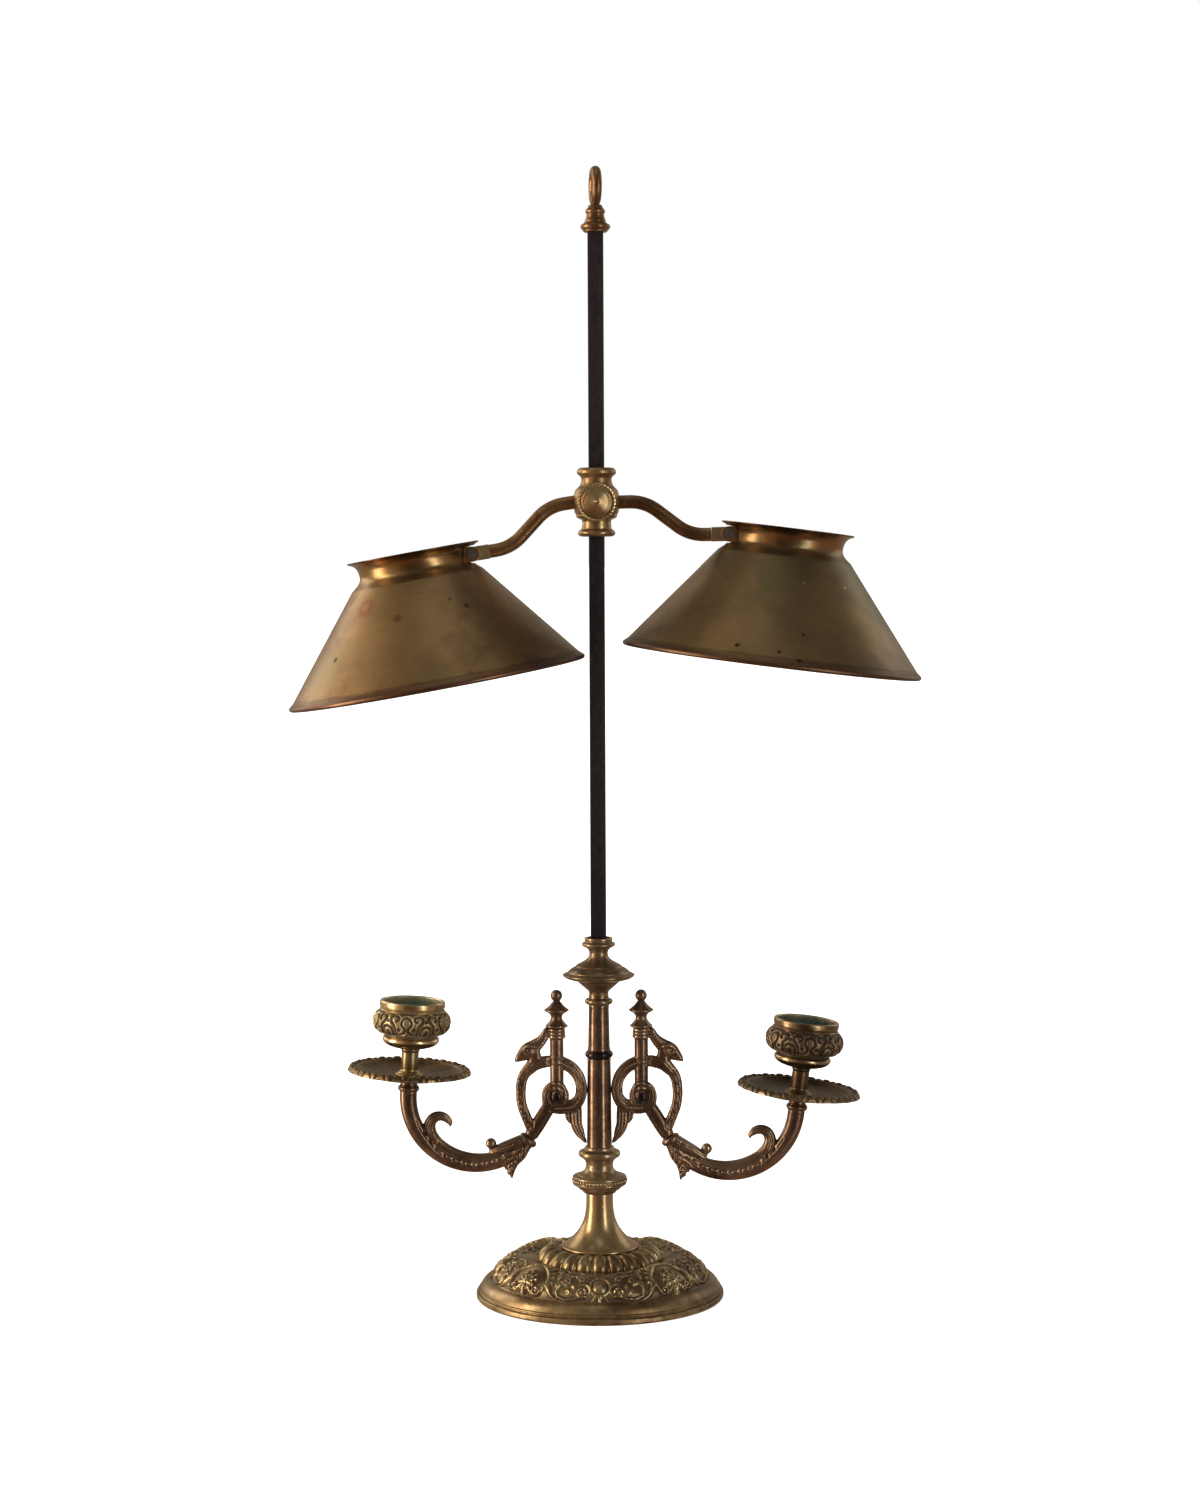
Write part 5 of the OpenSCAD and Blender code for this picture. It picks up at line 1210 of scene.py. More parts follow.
def with_depth(rows, depth, tips=1.0):
    """Adds a half depth to rows of (u, w, half width)."""
    t = np.linspace(0, 1, len(rows))
    return [(u, w, h, depth * (1 - (1 - tips) * abs(2 * k - 1) ** 3)) for (u, w, h), k in zip(rows, t)]


def bracket_shells():
    shells = [drawn(through(with_depth(BAND, 2.95, 0.85)), 3.4, 22),
              drawn(through(with_depth(OUTER_C, 2.3)), 2.6, 20),
              drawn(through([(3.0, 14.9, 3.0, 2.9), (8.6, 13.4, 3.1, 2.8), (12.6, 10.2, 2.8, 2.6)]), 3.0, 18),
              drawn(through(with_depth(NECK, 2.7, 0.35)), 2.3, 20),
              drawn(through([(9.4, 19.6, 3.0, 2.6), (9.2, 16.0, 3.1, 2.7), (10.2, 12.6, 2.6, 2.6)]), 2.6, 18),
              ball(12.3, 20.4, 4.3, 3.5),
              ball(EYE[0], EYE[1], 3.4, 3.9),
              moved(solid([(3.5, 0), (3.5, PILLAR_TOP - EYE[1] + 1)], 40, 0.2), shift(EYE[0], 0, EYE[1])),
              drawn(through([(1.4, -7.4, 3.5, 2.9), (4.6, -12.4, 3.7, 2.9), (8.0, -18.0, 3.7, 3.1),
                             (11.0, -22.6, 3.6, 3.3)]), 2.2, 20),
              across(solid([(6.3, -2.3), (6.3, 2.3)], 56, 0.8), EYE[0], EYE[1])]
    # the fluted leaf at the foot of the ring
    shells.append(drawn(through([(u, w, h, 0.9 + 0.5 * h) for u, w, h in FAN]), 2.4, 24))
    shells.append(drawn(through([(-8.4, -10.6, 2.2, 2.4), (-7.4, -13.6, 1.5, 1.9), (-8.0, -16.4, 0.8, 1.2)]), 2.0, 14))
    # brow and crest
    for y in (-2.7, 2.7):
        shells.append(moved(drawn(through([(9.6, 22.6, 0.8, 0.9), (12.2, 23.1, 0.9, 1.0), (15.0, 21.4, 0.7, 0.8)]),
                                  2.0, 12), shift(0, y, 0)))
    for k, z in enumerate((27.7, 29.4, 31.1)):
        ring = turned(eased([(2.2, -0.86), (4.0, -0.86), (4.75 - 0.1 * k, -0.3), (4.75 - 0.1 * k, 0.35), (4.0, 0.86), (2.2, 0.86)], 0.5,
                            closed=True), 48)
        shells.append(moved(ring, shift(EYE[0], 0, z)))
    shells.append(moved(solid([(4.1, 0), (4.1, 5.4)], 40, 0.2), shift(EYE[0], 0, PILLAR_TOP)))
    return shells


def near_line(u, w, rows):
    """For each point, the nearest place on a line: distance, how far along it, and the side."""
    line = through(rows, 8)[:, :2]
    step = np.hypot(*np.diff(line, axis=0).T)
    start = np.concatenate([[0], np.cumsum(step)])
    best = np.full(len(u), 1e9)
    where, side = np.zeros(len(u)), np.ones(len(u))
    for k in range(len(line) - 1):
        (x0, y0), (x1, y1) = line[k], line[k + 1]
        dx, dy = x1 - x0, y1 - y0
        t = np.clip(((u - x0) * dx + (w - y0) * dy) / (dx * dx + dy * dy + 1e-12), 0, 1)
        ex, ey = u - x0 - t * dx, w - y0 - t * dy
        gap = np.hypot(ex, ey)
        close = gap < best
        best = np.where(close, gap, best)
        where = np.where(close, start[k] + t * step[k], where)
        side = np.where(close, np.sign(ex * dy - ey * dx), side)
    return best, where, side


def notch_at(value, centre, width):
    return np.exp(-((value - centre) / width) ** 2)


def carve_bracket(co, no):
    u, y, w = co.T
    face = np.clip(np.abs(no[:, 1]) * 1.6 - 0.5, 0, 1)
    depth = np.zeros(len(co))
    gap, where, _ = near_line(u, w, BAND)
    on_band = gap < 3.2
    depth -= 0.55 * notch_at(gap, 1.25, 0.26) * face * on_band * (where < 56)
    depth -= 0.32 * notch_at(gap, 2.15, 0.24) * face * on_band * (where < 56)
    depth -= 0.45 * notch_at(gap, 0.0, 0.5) * face * on_band * (where >= 56)
    depth -= 0.45 * notch_at(gap, 2.2, 0.3) * face * (where >= 56) * (gap < 3)
    gap, where, side = near_line(u, w, OUTER_C)
    on_c = gap < 2.6
    depth -= 0.32 * notch_at(gap * side, -0.5, 0.25) * face * on_c
    depth -= 0.3 * notch_at((where * 0.3 + gap * side * 0.5) % 1.5, 0.75, 0.16) * face * on_c * (where > 5)
    gap, where, side = near_line(u, w, NECK)
    on_neck = (gap < 2.9) & (where > 2) & (where < 13)
    depth -= 0.28 * notch_at((where + np.abs(gap) * 0.8) % 1.5, 0.75, 0.25) * on_neck * face
    # eye of the bird, beak line, and grooves in the leaf
    depth -= 0.7 * notch_at(np.hypot(u - 13.1, w - 21.0), 1.05, 0.3) * face
    depth += 0.55 * notch_at(np.hypot(u - 13.1, w - 21.0), 0, 0.6) * face
    depth -= 0.45 * notch_at(np.abs((w - 17.2) - (u - 15.4) * -0.62), 0, 0.28) * ((u > 14.6) & (w < 20)) * face
    gap, where, side = near_line(u, w, FAN)
    leaf = (w < -11) & (u < -5.5)
    spread = np.interp(where, [0, 9, 14, 20], [1.8, 1.7, 1.4, 0.8])
    depth -= 0.8 * notch_at((gap * side / spread + 10) % 1.0, 0.5, 0.2) * leaf * np.clip(face + 0.3, 0, 1)
    near_eye = np.hypot(u - EYE[0], w - EYE[1])
    depth -= 0.5 * notch_at(near_eye, 3.35, 0.35) * face
    return depth


def bracket(side, mesh):
    place = bracket_place(side)
    finish_piece(f"bracket_{side}_cast", mesh.copy(), place, DARK, "root", [f"bracket_{side}"], sharp=70)
    row = through([(u, w) for u, w, _ in BAND[:9]], 8)
    path = [(u, -2.98, w) for u, w in row[6:]]
    beads_along(f"bracket_{side}_front_beads", path, 38, 0.5, place, DARK, "root")
    beads_along(f"bracket_{side}_back_beads", [(u, -y, w) for u, y, w in path], 38, 0.5, place, DARK, "root")
    eye = [(0, 2.2), (2.0, 2.2), (2.65, 3.4), (2.4, 4.3), (1.3, 4.9), (0, 5.05)]
    for end, sign in (("front", 1), ("back", -1)):
        button = across(turned(eased(eye, 0.4), 40, loop=False))
        button = (button[0] * [1, sign, 1], button[1])
        make(f"bracket_{side}_{end}_eye", [moved(button, shift(EYE[0], 0, EYE[1]))], place, NEARLY_BLACK, "root")


def bracket_finial(side):
    body = [(1.6, -3.6), (1.6, 0), (4.6, 0), (5.6, 0.25), (5.9, 0.9), (4.9, 1.7), (4.1, 2.6), (3.2, 3.9), (2.8, 5.0),
            (3.0, 6.1), (4.1, 7.4), (5.5, 8.1), (6.35, 8.6), (6.3, 9.2), (5.0, 10.0), (3.6, 11.3), (2.4, 12.8),
            (1.75, 13.6)] + arc((0, 16.35), 3.05, -52, 84, 12)
    place = bracket_place(side) @ shift(EYE[0], 0, PILLAR_TOP + 5.5)
    make(f"bracket_finial_{side}_turned", [solid(body, 80, 0.45)], place, DARK, "root",
         [f"bracket_finial_{side}"])


# ---- candle arms ----

CURL = [(47.4, -3.4, 3.6, 3.4), (50.0, 0.6, 3.4, 3.2), (50.8, 5.2, 3.1, 2.9), (49.1, 8.8, 2.8, 2.7),
        (45.8, 10.2, 2.5, 2.4), (42.6, 9.3, 2.2, 2.1), (40.6, 7.3, 1.6, 1.7), (40.2, 5.6, 0.7, 0.9)]
ACANTHUS = [(1, -2, 3.3), (4.5, -6.5, 4.5), (7.2, -11, 3.7), (7.9, -15, 2.5), (7.6, -18, 1.3), (7.3, -20, 0.4)]
LOBES = [[(7.4, -8.6, 2.2), (10.4, -10.6, 1.7), (12.6, -12.6, 0.5)], [(7.8, -11.6, 1.9), (9.8, -13.6, 1.4), (11.0, -15.6, 0.4)],
         [(7.8, -14.8, 1.5), (9.0, -16.6, 1.0), (9.4, -18.2, 0.3)], [(1.6, -5.4, 1.6), (1.8, -8.4, 1.1), (2.8, -10.8, 0.3)],
         [(2.0, 0.3, 2.9), (8.0, -2.3, 2.7), (14.0, -5.0, 2.4), (18.0, -7.0, 1.6)]]


def candle_arm_shells():
    path = []
    for a in np.linspace(-SWEEP_A + 3, 0, 40):
        t = math.radians(a)
        share = (a + SWEEP_A) / SWEEP_A
        width = 4.0 + 0.4 * share ** 2
        path.append((SWEEP_C[0] + SWEEP_R * math.cos(t), SWEEP_C[1] + SWEEP_R * math.sin(t), width, 4.1))
    path += [(ARM_X, SWEEP_C[1] + 1.0, 4.4, 4.3), (ARM_X, ARM_TOP, 4.4, 4.3)]
    shells = [drawn(path, 2.15, 26), drawn(through(CURL), 2.1, 18)]
    inner = []
    for a in np.linspace(-112, -42, 16):
        t = math.radians(a)
        r = SWEEP_R - 3.4 - 1.6 * (a + 112) / 70
        inner.append((SWEEP_C[0] + r * math.cos(t), SWEEP_C[1] + r * math.sin(t), 1.7 + 0.7 * (a + 112) / 70, 3.0))
    shells.append(drawn(inner, 2.1, 18))
    shells += [ball(18.9, -2.7, 2.8),
               drawn(through([(17.0, -9.0, 1.9, 1.9), (18.4, -6.4, 1.35, 1.35), (18.8, -4.6, 1.2, 1.2)]), 2.0, 12)]
    # acanthus that clasps the arm, with a ragged tip
    for rows, depth in [(ACANTHUS, 4.9)] + [(lobe, 4.5) for lobe in LOBES]:
        widest = max(h for _, _, h in rows)
        shells.append(drawn(through([(u, w, h, depth * min(1, 0.25 + 0.8 * h / widest)) for u, w, h in rows]), 2.3, 22))
    root = drawn([(0.4, -0.6, 3.5, 3.7), (2.6, -3.4, 3.9, 3.9)], 2.0, 20)
    shells.append(root)
    return shells


def carve_candle_arm(co, no):
    x, y, z = co.T
    dx, dz = x - SWEEP_C[0], z - SWEEP_C[1]
    r, a = np.hypot(dx, dz), np.degrees(np.arctan2(dz, dx))
    depth = np.zeros(len(co))
    side = np.clip(np.abs(no[:, 1]) * 1.5 - 0.2, 0, 1)
    on_arm = (a > -118) & (a < -24) & (r > 28) & (r < 39.5)
    seam = np.interp(a, [-118, -90, -60, -44, -24], [33.4, 34.2, 33.3, 31.9, 31.4])
    depth -= 0.42 * notch_at(r, seam + 0.75, 0.28) * on_arm * side
    depth -= 0.30 * notch_at(r, seam - 1.15, 0.26) * on_arm * side
    depth -= 1.25 * notch_at(r, seam - 0.2, 0.72) * notch_at((a + 114) % 9.0, 4.5, 1.7) * on_arm * side * (a < -33)
    gap, where, _ = near_line(x, z, [row[:2] for row in CURL])
    depth -= 0.34 * notch_at(gap, 1.0, 0.3) * (where > 5) * (gap < 2.4) * side
    gap, where, flank = near_line(x, z, ACANTHUS)
    leaf = (gap < 5.2) & (where > 0.5) & (x < 14) & (np.abs(y) > 1.2)
    depth -= 0.75 * notch_at((where * 0.7 - gap * 1.1 + 21) % 3.3, 1.65, 0.42) * leaf
    depth -= 0.45 * notch_at(gap, 0.55, 0.25) * leaf * side
    gap, where, flank = near_line(x, z, LOBES[-1])
    depth -= 0.4 * notch_at(gap, 0.9, 0.3) * ((gap < 2.6) & (where > 3)) * side
    return depth


def candle_arm(side, mesh):
    place = candle_place(side)
    finish_piece(f"candle_arm_{side}_cast", mesh.copy(), place, DARK, "root",
                 [f"candle_arm_{side}"], sharp=70)
    ring = torus(3.25, 1.75, 0, 64, 16)
    core = solid([(3.3, -1.68), (3.3, 1.68)], 48, 0.2)
    root = place @ lean(SWEEP_A)
    make(f"arm_joint_ring_{side}_turned", [ring, core], root, DARK, "root",
         [f"arm_joint_ring_{side}"], wear=0.6)
    z = ARM_TOP
    collar = [(4.2, z - 0.2), (4.8, z + 0.1)] + arc((4.05, z + 1.65), 1.5, -62, 62, 8) + \
        [(4.75, z + 3.2), (4.35, z + 3.6), (4.3, z + 5.4), (4.7, z + 6.0), (5.7, z + 6.6), (6.0, z + 7.2), (5.8, z + 7.5)]
    make(f"arm_collar_{side}_turned", [moved(bored(collar, 1.6, 80, 0.3), shift(ARM_X, 0, 0))], place, DARK, "root",
         [f"arm_collar_{side}"])


# ---- drip pans ----

TABS = 22


def drip_pan(side):
    place = candle_place(side) @ shift(ARM_X, 0, PAN_Z)
    top = [(1.6, 1.0), (9.0, 1.0), (16.0, 1.05), (20.5, 1.5), (23.4, 2.4), (25.4, 3.5), (26.3, 4.2), (26.9, 4.5)]
    border = [(27.4 + 0.25 * k, 4.5 + 0.55 * math.sin(math.pi * k / 15) - 0.0020 * max(0, k - 9) ** 3) for k in range(19)]
    under = [(31.6, 2.5), (30.2, 2.3), (27.4, 2.5), (25.0, 1.6), (22.0, 0.5), (18.0, 0.0), (8.0, 0.0), (1.6, 0.0)]
    steps = 32 * TABS
    turn = np.linspace(0, 2 * np.pi, steps, endpoint=False)
    phase = (turn * TABS / (2 * np.pi)) % 1.0
    outline = np.array(eased(top, 0.8)[:-1].tolist() + border)
    r = outline[:, :1] + 0 * turn
    z = outline[:, 1:2] + 0 * turn
    share = np.clip((outline[:, :1] - 27.0) / 4.9, 0, 1)
    cell = np.abs(phase - 0.5)
    scallop = 0.24 * np.cos(2 * np.pi * phase) - 0.1
    r = r - share * (0.35 + scallop * 0.75 * share)
    x = cell * 2 * np.pi * 29.6 / TABS
    oval = np.clip(1 - ((x / 2.15) ** 2 + ((outline[:, :1] - 29.9) / 1.9) ** 2), 0, 1) ** 0.6
    groove = np.exp(-((np.hypot(x / 2.15, (outline[:, :1] - 29.9) / 1.9) - 1.12) / 0.13) ** 2)
    away = (0.5 - cell) * 2 * np.pi * 29.6 / TABS
    leaf = np.clip(1 - away / (0.35 + 1.55 * np.clip((outline[:, :1] - 27.4) / 3.6, 0, 1)), 0, 1) ** 0.7
    rib = np.exp(-(away / 0.22) ** 2)
    on = ((outline[:, :1] > 27.2) & (outline[:, :1] < 31.7)).astype(float)
    z = z + on * (oval * 0.6 - groove * 0.55 + leaf * 0.5 - rib * 0.3 * (leaf > 0))
    bead = np.exp(-((outline[:, :1] - 26.8) / 0.45) ** 2)
    z = z + bead * 0.35
    lower = np.array(eased(under, 0.6))
    lower_share = np.clip((lower[:, :1] - 27.4) / 4.2, 0, 1)
    lr = lower[:, :1] - lower_share * (0.5 + scallop * 0.7 * lower_share)
    lz = lower[:, 1:2] + 0 * turn
    rr, zz = np.vstack([r, lr]), np.vstack([z, lz])
    points = np.stack([rr * np.cos(turn), rr * np.sin(turn), zz], -1).reshape(-1, 3)
    shell = (points, sheet_faces(len(rr), steps, wrap_rows=True))
    make(f"drip_pan_{side}_chased", [shell], place, PAN[side], "root", [f"drip_pan_{side}"], wear=1.2, sharp=60)


def cup_stem(side):
    z = STEM_Z
    rows = [(7.2, z), (7.4, z + 0.45), (7.0, z + 1.0), (6.0, z + 1.3), (5.7, z + 1.8), (4.9, z + 2.2), (4.5, z + 3.0),
            (4.35, z + 12.0), (4.6, z + 12.6), (4.8, z + 13.1), (4.8, z + 13.5)]
    make(f"cup_stem_{side}_turned", [moved(bored(rows, 1.55, 72, 0.35), shift(ARM_X, 0, 0))], candle_place(side),
         CUP[side], "root", [f"cup_stem_{side}"])


# ---- candle cups ----

CUP_TURNS, CUP_HALF = 6, 42


def cup_relief():
    """Half of one repeat round the cup: x runs round it, y up its side."""
    w = Relief(0.35)
    w.stroke([(0.0, 6.9), (2.4, 5.8), (3.0, 3.2), (2.8, 0.8)], 0.75, 1.0, taper=(1, 1))
    w.stroke([(0.0, 1.0), (0.0, 4.0)], 1.1, 0.7, taper=(1, 0.7))
    w.stroke([(4.9, 0.8), (4.3, 3.6), (4.0, 6.8), (2.2, 9.2), (1.5, 11.2), (3.2, 12.9), (5.7, 12.2), (6.0, 10.2),
              (4.9, 9.4)], 0.8, 1.05, taper=(1, 0.8))
    w.stroke([(6.4, 0.9), (8.9, 2.4), (9.6, 5.2), (7.9, 7.8), (8.4, 10.8), (10.5, 12.3)], 0.8, 1.05, taper=(1, 0.9))
    w.dot(6.6, 4.9, 1.15, 0.8)
    w.dot(0.0, 9.8, 1.1, 0.9)
    w.stroke([(0.0, 13.3), (5.0, 13.5), (10.5, 13.5)], 0.3, 0.4, taper=(1, 1))
    return w


def candle_cup(side):
    place = candle_place(side) @ shift(ARM_X, 0, CUP_Z)
    belly = np.array(arc((13.7, 14.3), 6.45, -62, 62, 46))
    steps = CUP_TURNS * 2 * CUP_HALF
    span = 2 * np.pi * 20.1 / CUP_TURNS / 2
    s = np.linspace(0, span, CUP_HALF + 1)
    t = np.linspace(0, 13.9, len(belly))
    gs, gt = np.meshgrid(s, t)
    raised = cup_relief().heights(gs.ravel(), gt.ravel()).reshape(gs.shape)
    for axis in (0, 1):
        edge = raised[:, [0, -1]].copy()
        raised = 0.6 * raised + 0.2 * (np.roll(raised, 1, axis) + np.roll(raised, -1, axis))
        raised[:, [0, -1]] = edge
    raised *= np.clip(np.minimum(gt, 13.9 - gt) / 0.7, 0, 1)
    column = np.arange(steps) - 6
    folded = np.abs((column + CUP_HALF) % (2 * CUP_HALF) - CUP_HALF)
    heights = raised[:, folded] * 0.8
    lower = [(4.2, -0.1), (5.6, 0.5), (8.6, 1.0), (11.6, 1.9), (13.7, 3.2), (14.6, 4.6), (14.6, 5.6), (13.9, 6.5),
             (13.2, 7.0), (13.2, 7.6), (13.9, 8.0), (15.6, 8.3)]
    upper = [(16.9, 20.4), (16.4, 20.7), (16.15, 21.2), (16.5, 21.7), (16.7, 22.3), (16.75, 24.3), (16.4, 25.0), (15.8, 25.2),
             (15.15, 24.9)]
    bore = [(CANDLE_R, 24.4), (CANDLE_R, 20.0), (CANDLE_R, 12.0), (CANDLE_R, CANDLE_FLOOR + 0.2), (14.6, CANDLE_FLOOR),
            (3.8, CANDLE_FLOOR), (3.8, 7.4), (1.5, 7.4), (1.5, -0.1)]
    low, high = eased(lower, 0.6), eased(upper, 0.35)
    outline = np.vstack([low, belly, high])
    full = np.zeros((len(outline), steps))
    full[len(low):len(low) + len(belly)] = heights
    points, faces = chased(outline, full, bore)
    mesh = plain_mesh("cup", points, faces)
    co = arrays(mesh)[0]
    reach = np.hypot(co[:, 0], co[:, 1])
    flat = wear_and_shade_of(mesh, 1.1, 1)
    lift = np.hypot(reach - 13.7, co[:, 2] - 14.3) - 6.45
    on = (co[:, 2] > 8.6) & (co[:, 2] < 20.0) & (reach > 16.2)
    # the ground between the raised straps counts as recess, so it takes dark patina and painted shade
    put_values(mesh, "wear", np.where(on, 0.5 * flat + 0.5 * np.clip(0.1 + lift * 0.9, 0, 1), flat))
    put_values(mesh, "inside", np.clip((CANDLE_R + 0.12 - reach) * 8, 0, 1) * (co[:, 2] > CANDLE_FLOOR - 0.1)
               * np.clip((24.9 - co[:, 2]) * 1.2, 0, 1))
    finish_piece(f"candle_cup_{side}_chased", mesh, place, CUP_OLD[side], "root",
                 [f"candle_cup_{side}"], sharp=60)


def verdigris_cup(side):
    """The cup's brass, with green verdigris inside, kept near black as painted shade."""
    # the right cup's colours are darker than the left's: painted shade for light falling from the left
    look = {"left": ("e4cfa6", "c4a97c", "92764e", "261c0f", "f4e4c2", 0.28),
            "right": ("b89c78", "8c7256", "604a38", "18120e", "d6c29c", 0.30)}[side]
    light, body, brown, recess, edge, rough = look
    f = Finish(f"verdigris_cup_{side}")
    broad, mottle = f.noise(26, 3), f.noise(110, 4, 0.6, warp=0.4)
    fine, grit = f.noise(460, 3, 0.6), f.noise(1700, 2)
    mix = broad * 0.4 + mottle * 0.45 + fine * 0.15
    colour = f.blend(shade_of(body), shade_of(brown), f.between(mix, 0.42, 0.62))
    colour = f.blend(colour, shade_of(light), f.between(1 - mix, 0.46, 0.7) * 0.8)
    held = f.held("wear") + (fine - 0.5) * 0.2
    deep = 1 - f.between(held, 0.14, 0.56)
    high = f.between(held, 0.60, 0.84)
    # hollows take the recess colour: dark patina, and painted shade as well
    colour = f.blend(colour, shade_of(recess), deep * 0.92)
    colour = f.blend(colour, shade_of(edge), high * 0.75)
    inside = f.held("inside")
    # inside the cup: green verdigris, kept near black as painted shade
    verdigris_and_shade = f.blend(shade_of("05201a"), shade_of("1c6654"), f.between(mottle * 0.5 + fine * 0.5, 0.46, 0.66))
    verdigris_and_shade = f.blend(verdigris_and_shade, shade_of("061412"), f.between(broad, 0.45, 0.65) * 0.5)
    colour = f.blend(colour, verdigris_and_shade, inside)
    bloom = f.between(mottle * 0.55 + broad * 0.45, 0.60, 0.70) * deep
    colour = f.blend(colour, shade_of("3f6a58"), bloom * 0.5)
    roughness = rough + (mottle - 0.5) * 0.2 + deep * 0.25 - high * 0.06 + inside * 0.45
    metallic = 1.0 - deep * 0.35 - inside
    height = mottle * 0.4 + fine * 0.4 + grit * 0.2
    return f.done(colour, roughness, metallic, height)


# ---- putting it together ----

AGED_FOOT = old_brass("foot_brass", "c2a783", "a58a64", "84694a", "2b2016", "dcc49c", 0.26, tone=(0.44, 0.70), bump=0.03,
                      grain=0.4)
STAINS = {
    "left": [(-40, 30, 6.8, "7c4430", 0.6), (-40, 30, 3.6, "8b6b48", 0.8), (-64, 24, 5.0, "6d4b34", 0.5),
             (-50, 59, 2.0, "2a1a14", 0.9), (30, 40, 1.9, "47332a", 0.8), (-13, 40, 3.2, "6b4832", 0.6),
             (22, 34, 1.6, "4f3a2c", 0.6), (46, 83, 9.0, "4b3a44", 0.5), (-20, 14, 9.0, "8d7c58", 0.4)],
    "right": [(-18, 77, 1.6, "2b1f18", 0.85), (-1, 78, 1.4, "2b1f18", 0.8), (7, 82, 1.7, "2b1f18", 0.8),
              (9, 66, 1.3, "2e221a", 0.75), (43, 34, 1.0, "b7a685", 0.7), (11, 34, 0.9, "b7a685", 0.7)],
}


def on_shade(side, turn, down):
    """A place on a shade: degrees round from the front, and millimetres down from the lip."""
    rows = np.array(shade_outline())
    length = np.concatenate([[0], np.cumsum(np.hypot(*np.diff(rows, axis=0).T))])
    r, z = np.interp(down, length, rows[:, 0]), np.interp(down, length, rows[:, 1])
    a = math.radians(-turn if side == "left" else turn)
    return tuple((shade_place(side) @ shift(r * math.sin(a), -r * math.cos(a), z)).translation)


def shade_spots(side):
    return [(on_shade(side, turn, down), size, tint, share) for turn, down, size, tint, share in STAINS[side]]


# the right shade's colours are darker than the left's, as painted shade for light falling from the left; the fourth
# colour of each is the painted warm reflection on the neck
SHADE_FINISH = {
    "left": spun_brass("shade_brass_left", "977a56", "71583f", "7e6e4a", "ad7644", shade_spots("left"), 0.36),
    "right": spun_brass("shade_brass_right", "8a7150", "6a5840", "665d42", "a66f42", shade_spots("right"), 0.38),
}
CUP_OLD = {side: verdigris_cup(side) for side in HANDED}

base()
gadroons()
trumpet_foot()
lower_knop()
column()
iron_rod()
top_finial()
slider()
BRACKET = cast("bracket", bracket_shells(), 0.30, 3, carve_bracket)
CANDLE_ARM = cast("candle_arm", candle_arm_shells(), 0.30, 3, carve_candle_arm)
SHADE = spun_shade()
for side in HANDED:
    shade_arm(side)
    hinge(side)
    shade(side, SHADE)
    bracket(side, BRACKET)
    bracket_finial(side)
    candle_arm(side, CANDLE_ARM)
    drip_pan(side)
    cup_stem(side)
    candle_cup(side)
for spare in (BRACKET, CANDLE_ARM, SHADE):
    bpy.data.meshes.remove(spare)

# the pieces that keep the shape they were packed with
PLAIN_BRASS = old_brass("hidden_brass", "a88a56", "866a3f", "5f4529", "2a1e13", "c8a874", 0.36, worn_and_shaded=False)
for node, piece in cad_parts.items():
    piece.data.materials.clear()
    steel = node.startswith(("tie_", "friction", "hinge_pin", "rim_wire", "bracket_screw", "cup_screw"))
    piece.data.materials.append(PIN_STEEL if steel else PLAIN_BRASS)


# ---- floor, light and camera ----


def stage():
    floor = bpy.data.meshes.new("studio_floor")
    turn = np.linspace(0, 2 * np.pi, 96, endpoint=False)
    points = [(0, 0, 0)]
    for r in (0.3, 1.0, 4.0, 16.0, 60.0):
        points += [(r * math.cos(a), r * math.sin(a), 0) for a in turn]
    faces = [(0, 1 + k, 1 + (k + 1) % 96) for k in range(96)]
    for ring in range(4):
        start = 1 + 96 * ring
        faces += [(start + k, start + 96 + k, start + 96 + (k + 1) % 96, start + (k + 1) % 96) for k in range(96)]
    floor.from_pydata(points, [], faces)
    f = Finish("studio_floor")
    grain = f.noise(40, 3)
    gap = f.node("ShaderNodeVectorMath", {"operation": "LENGTH"}, {0: f.object_place}, out="Value")
    glow = f.blend(shade_of("dcdcda"), shade_of("ffffff"), f.between(gap, 0.1, 0.9))
    colour = f.blend(shade_of("c9c8c6"), shade_of("c4c3c1"), grain)
    floor.materials.append(f.done(colour, 0.9, 0.0, grain, 0.02, glow=glow))
    piece = bpy.data.objects.new("studio_floor", floor)
    piece.visible_glossy = False
    piece.visible_shadow = False
    bpy.context.scene.collection.objects.link(piece)


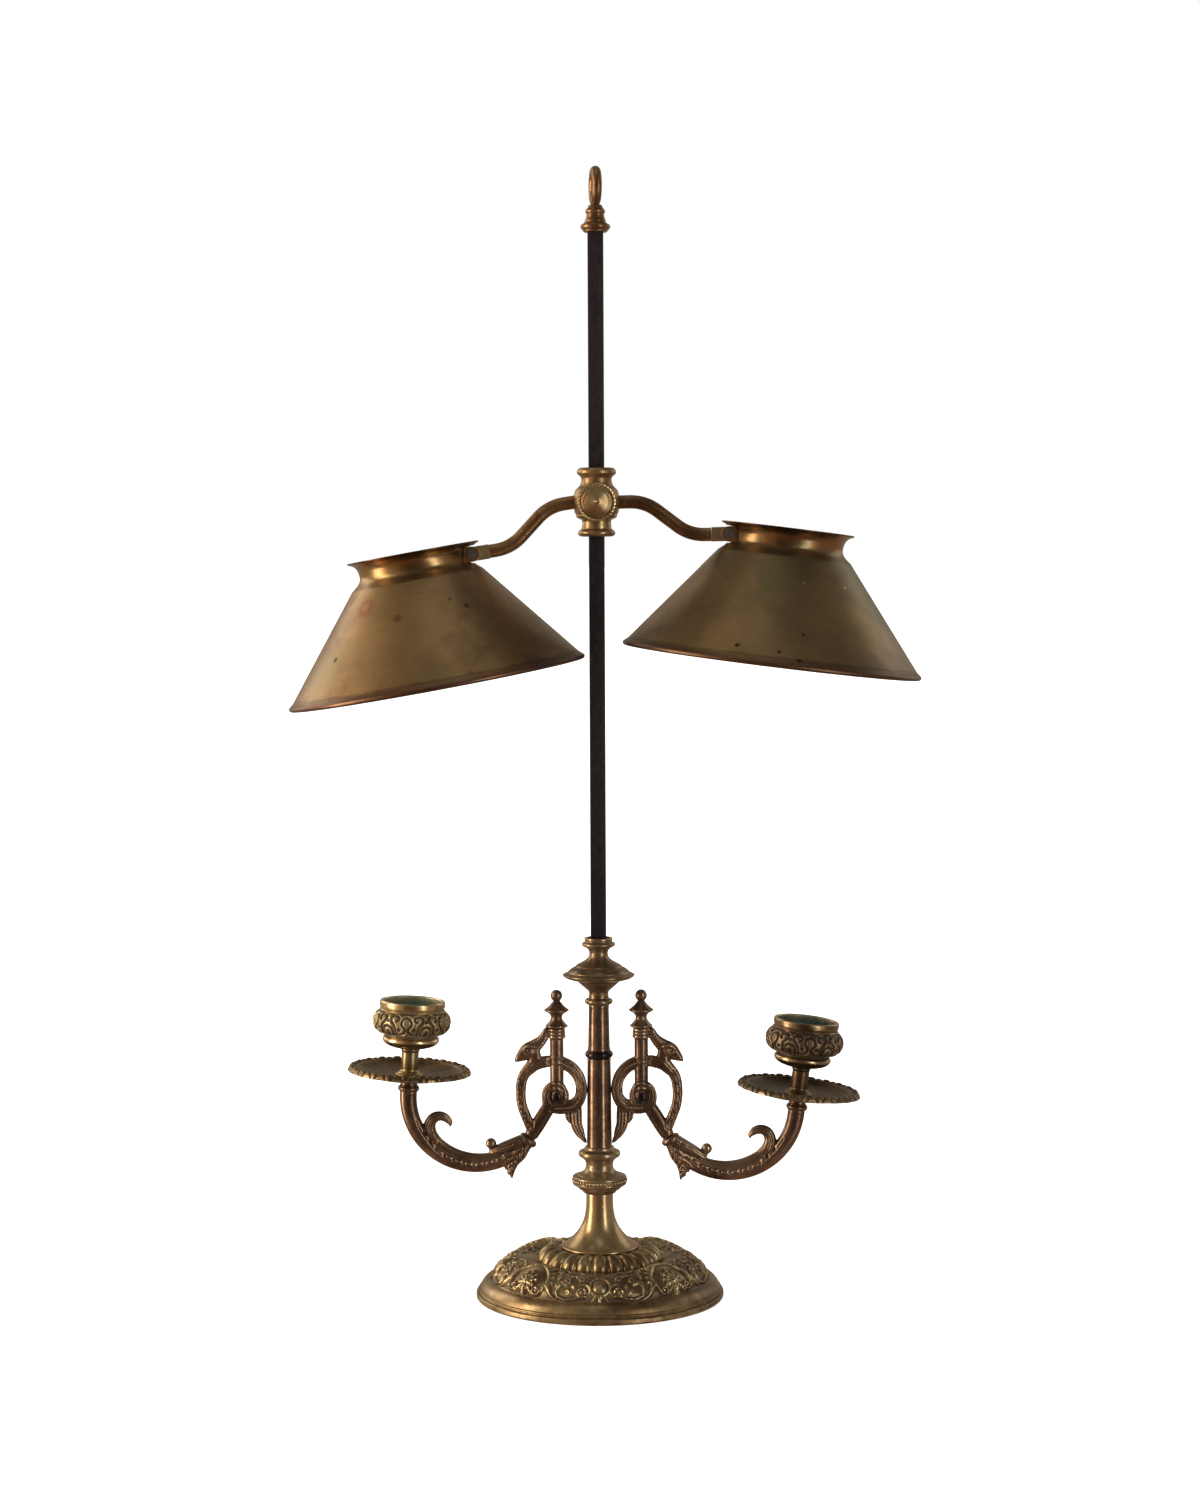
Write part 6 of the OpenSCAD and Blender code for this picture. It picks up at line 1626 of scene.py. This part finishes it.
def room():
    """White to the camera; to the metal, a dim room that is warm below and grey-green above."""
    world = bpy.data.worlds.new("studio")
    world.use_nodes = True
    bpy.context.scene.world = world
    f = Finish.__new__(Finish)
    f.material, f.tree = None, world.node_tree
    f.tree.nodes.clear()
    way = f.node("ShaderNodeTexCoord", out="Generated")
    split = f.tree.nodes.new("ShaderNodeSeparateXYZ")
    f.tree.links.new(way.socket, split.inputs[0])
    x, y, z = (Level(f, split.outputs[k]) for k in range(3))
    above = f.between(z, -0.25, 0.45)
    colour = f.blend(shade_of(ROOM_LOW), shade_of(ROOM_HIGH), above)
    left = f.between(0 - x, 0.1, 1.0)
    right = f.between(x, 0.35, 1.0)
    back = f.between(y, 0.2, 0.9)
    colour = f.blend(colour, shade_of(ROOM_LEFT), left * 0.75)
    colour = f.blend(colour, shade_of(ROOM_RIGHT), right * 0.6)
    colour = f.blend(colour, shade_of(ROOM_BACK), back * 0.65)
    front = f.between(0 - y, 0.72, 0.98)
    colour = f.blend(colour, shade_of(ROOM_FRONT), front * 0.8)
    seen = f.node("ShaderNodeLightPath", out="Is Camera Ray")
    glossy = f.node("ShaderNodeLightPath", out="Is Glossy Ray")
    colour = f.blend(shade_of("ffffff"), colour, glossy)
    dim = f.node("ShaderNodeBackground", values={"Color": colour, "Strength": 1.0})
    white = f.node("ShaderNodeBackground", values={"Color": (1, 1, 1, 1), "Strength": 1.0})
    both = f.node("ShaderNodeMixShader", values={0: seen, 1: dim, 2: white})
    f.node("ShaderNodeOutputWorld", values={"Surface": both})


ROOM_LOW, ROOM_HIGH, ROOM_LEFT, ROOM_RIGHT = "84583a", "635d50", "dcc8a8", "a9a89c"
ROOM_BACK, ROOM_FRONT = "b9b0a0", "3a2a20"


def softbox(name, place, aim, size, power, colour):
    light = bpy.data.lights.new(name, "AREA")
    light.shape, light.size, light.size_y = "RECTANGLE", size[0], size[1]
    light.energy, light.color = power, colour
    lamp = bpy.data.objects.new(name, light)
    bpy.context.scene.collection.objects.link(lamp)
    lamp.location, lamp.visible_camera = place, False
    way = np.array(aim, float) - np.array(place, float)
    lamp.rotation_euler = Vector(way).to_track_quat("-Z", "Y").to_euler()


stage()
room()
softbox("window_left", (-1.55, -0.32, 0.35), (0, 0, 0.25), (0.5, 1.9), 26, (1.0, 0.88, 0.74))
softbox("window_right", (1.1, -1.22, 0.35), (0, 0, 0.25), (0.3, 1.9), 11, (0.93, 0.97, 0.95))
softbox("window_back_left", (-1.6, 1.2, 1.0), (0, 0, 0.3), (1.1, 1.4), 9, (1.0, 0.93, 0.82))
softbox("window_back_right", (1.6, 1.2, 1.0), (0, 0, 0.3), (1.1, 1.4), 3.5, (0.97, 0.98, 0.96))
softbox("overhead", (-0.1, -0.1, 2.2), (0, 0, 0.2), (1.2, 1.2), 2.2, (1.0, 0.97, 0.92))

scene = bpy.context.scene
scene.view_settings.view_transform = "Standard"
eye = bpy.data.cameras.new("camera")
eye.lens, eye.sensor_width, eye.sensor_fit = 72, 36, "AUTO"
eye.clip_start, eye.clip_end = 0.05, 200
camera = bpy.data.objects.new("camera", eye)
scene.collection.objects.link(camera)
camera.matrix_world = (shift(0.0012, -1.521, 0.3832) @ Matrix.Rotation(math.radians(90 - 3.852), 4, "X")
                       @ Matrix.Rotation(math.radians(-0.2546), 4, "Z"))
scene.camera = camera


def corners(box):
    return [[float(v) for v in corner] for corner in box]
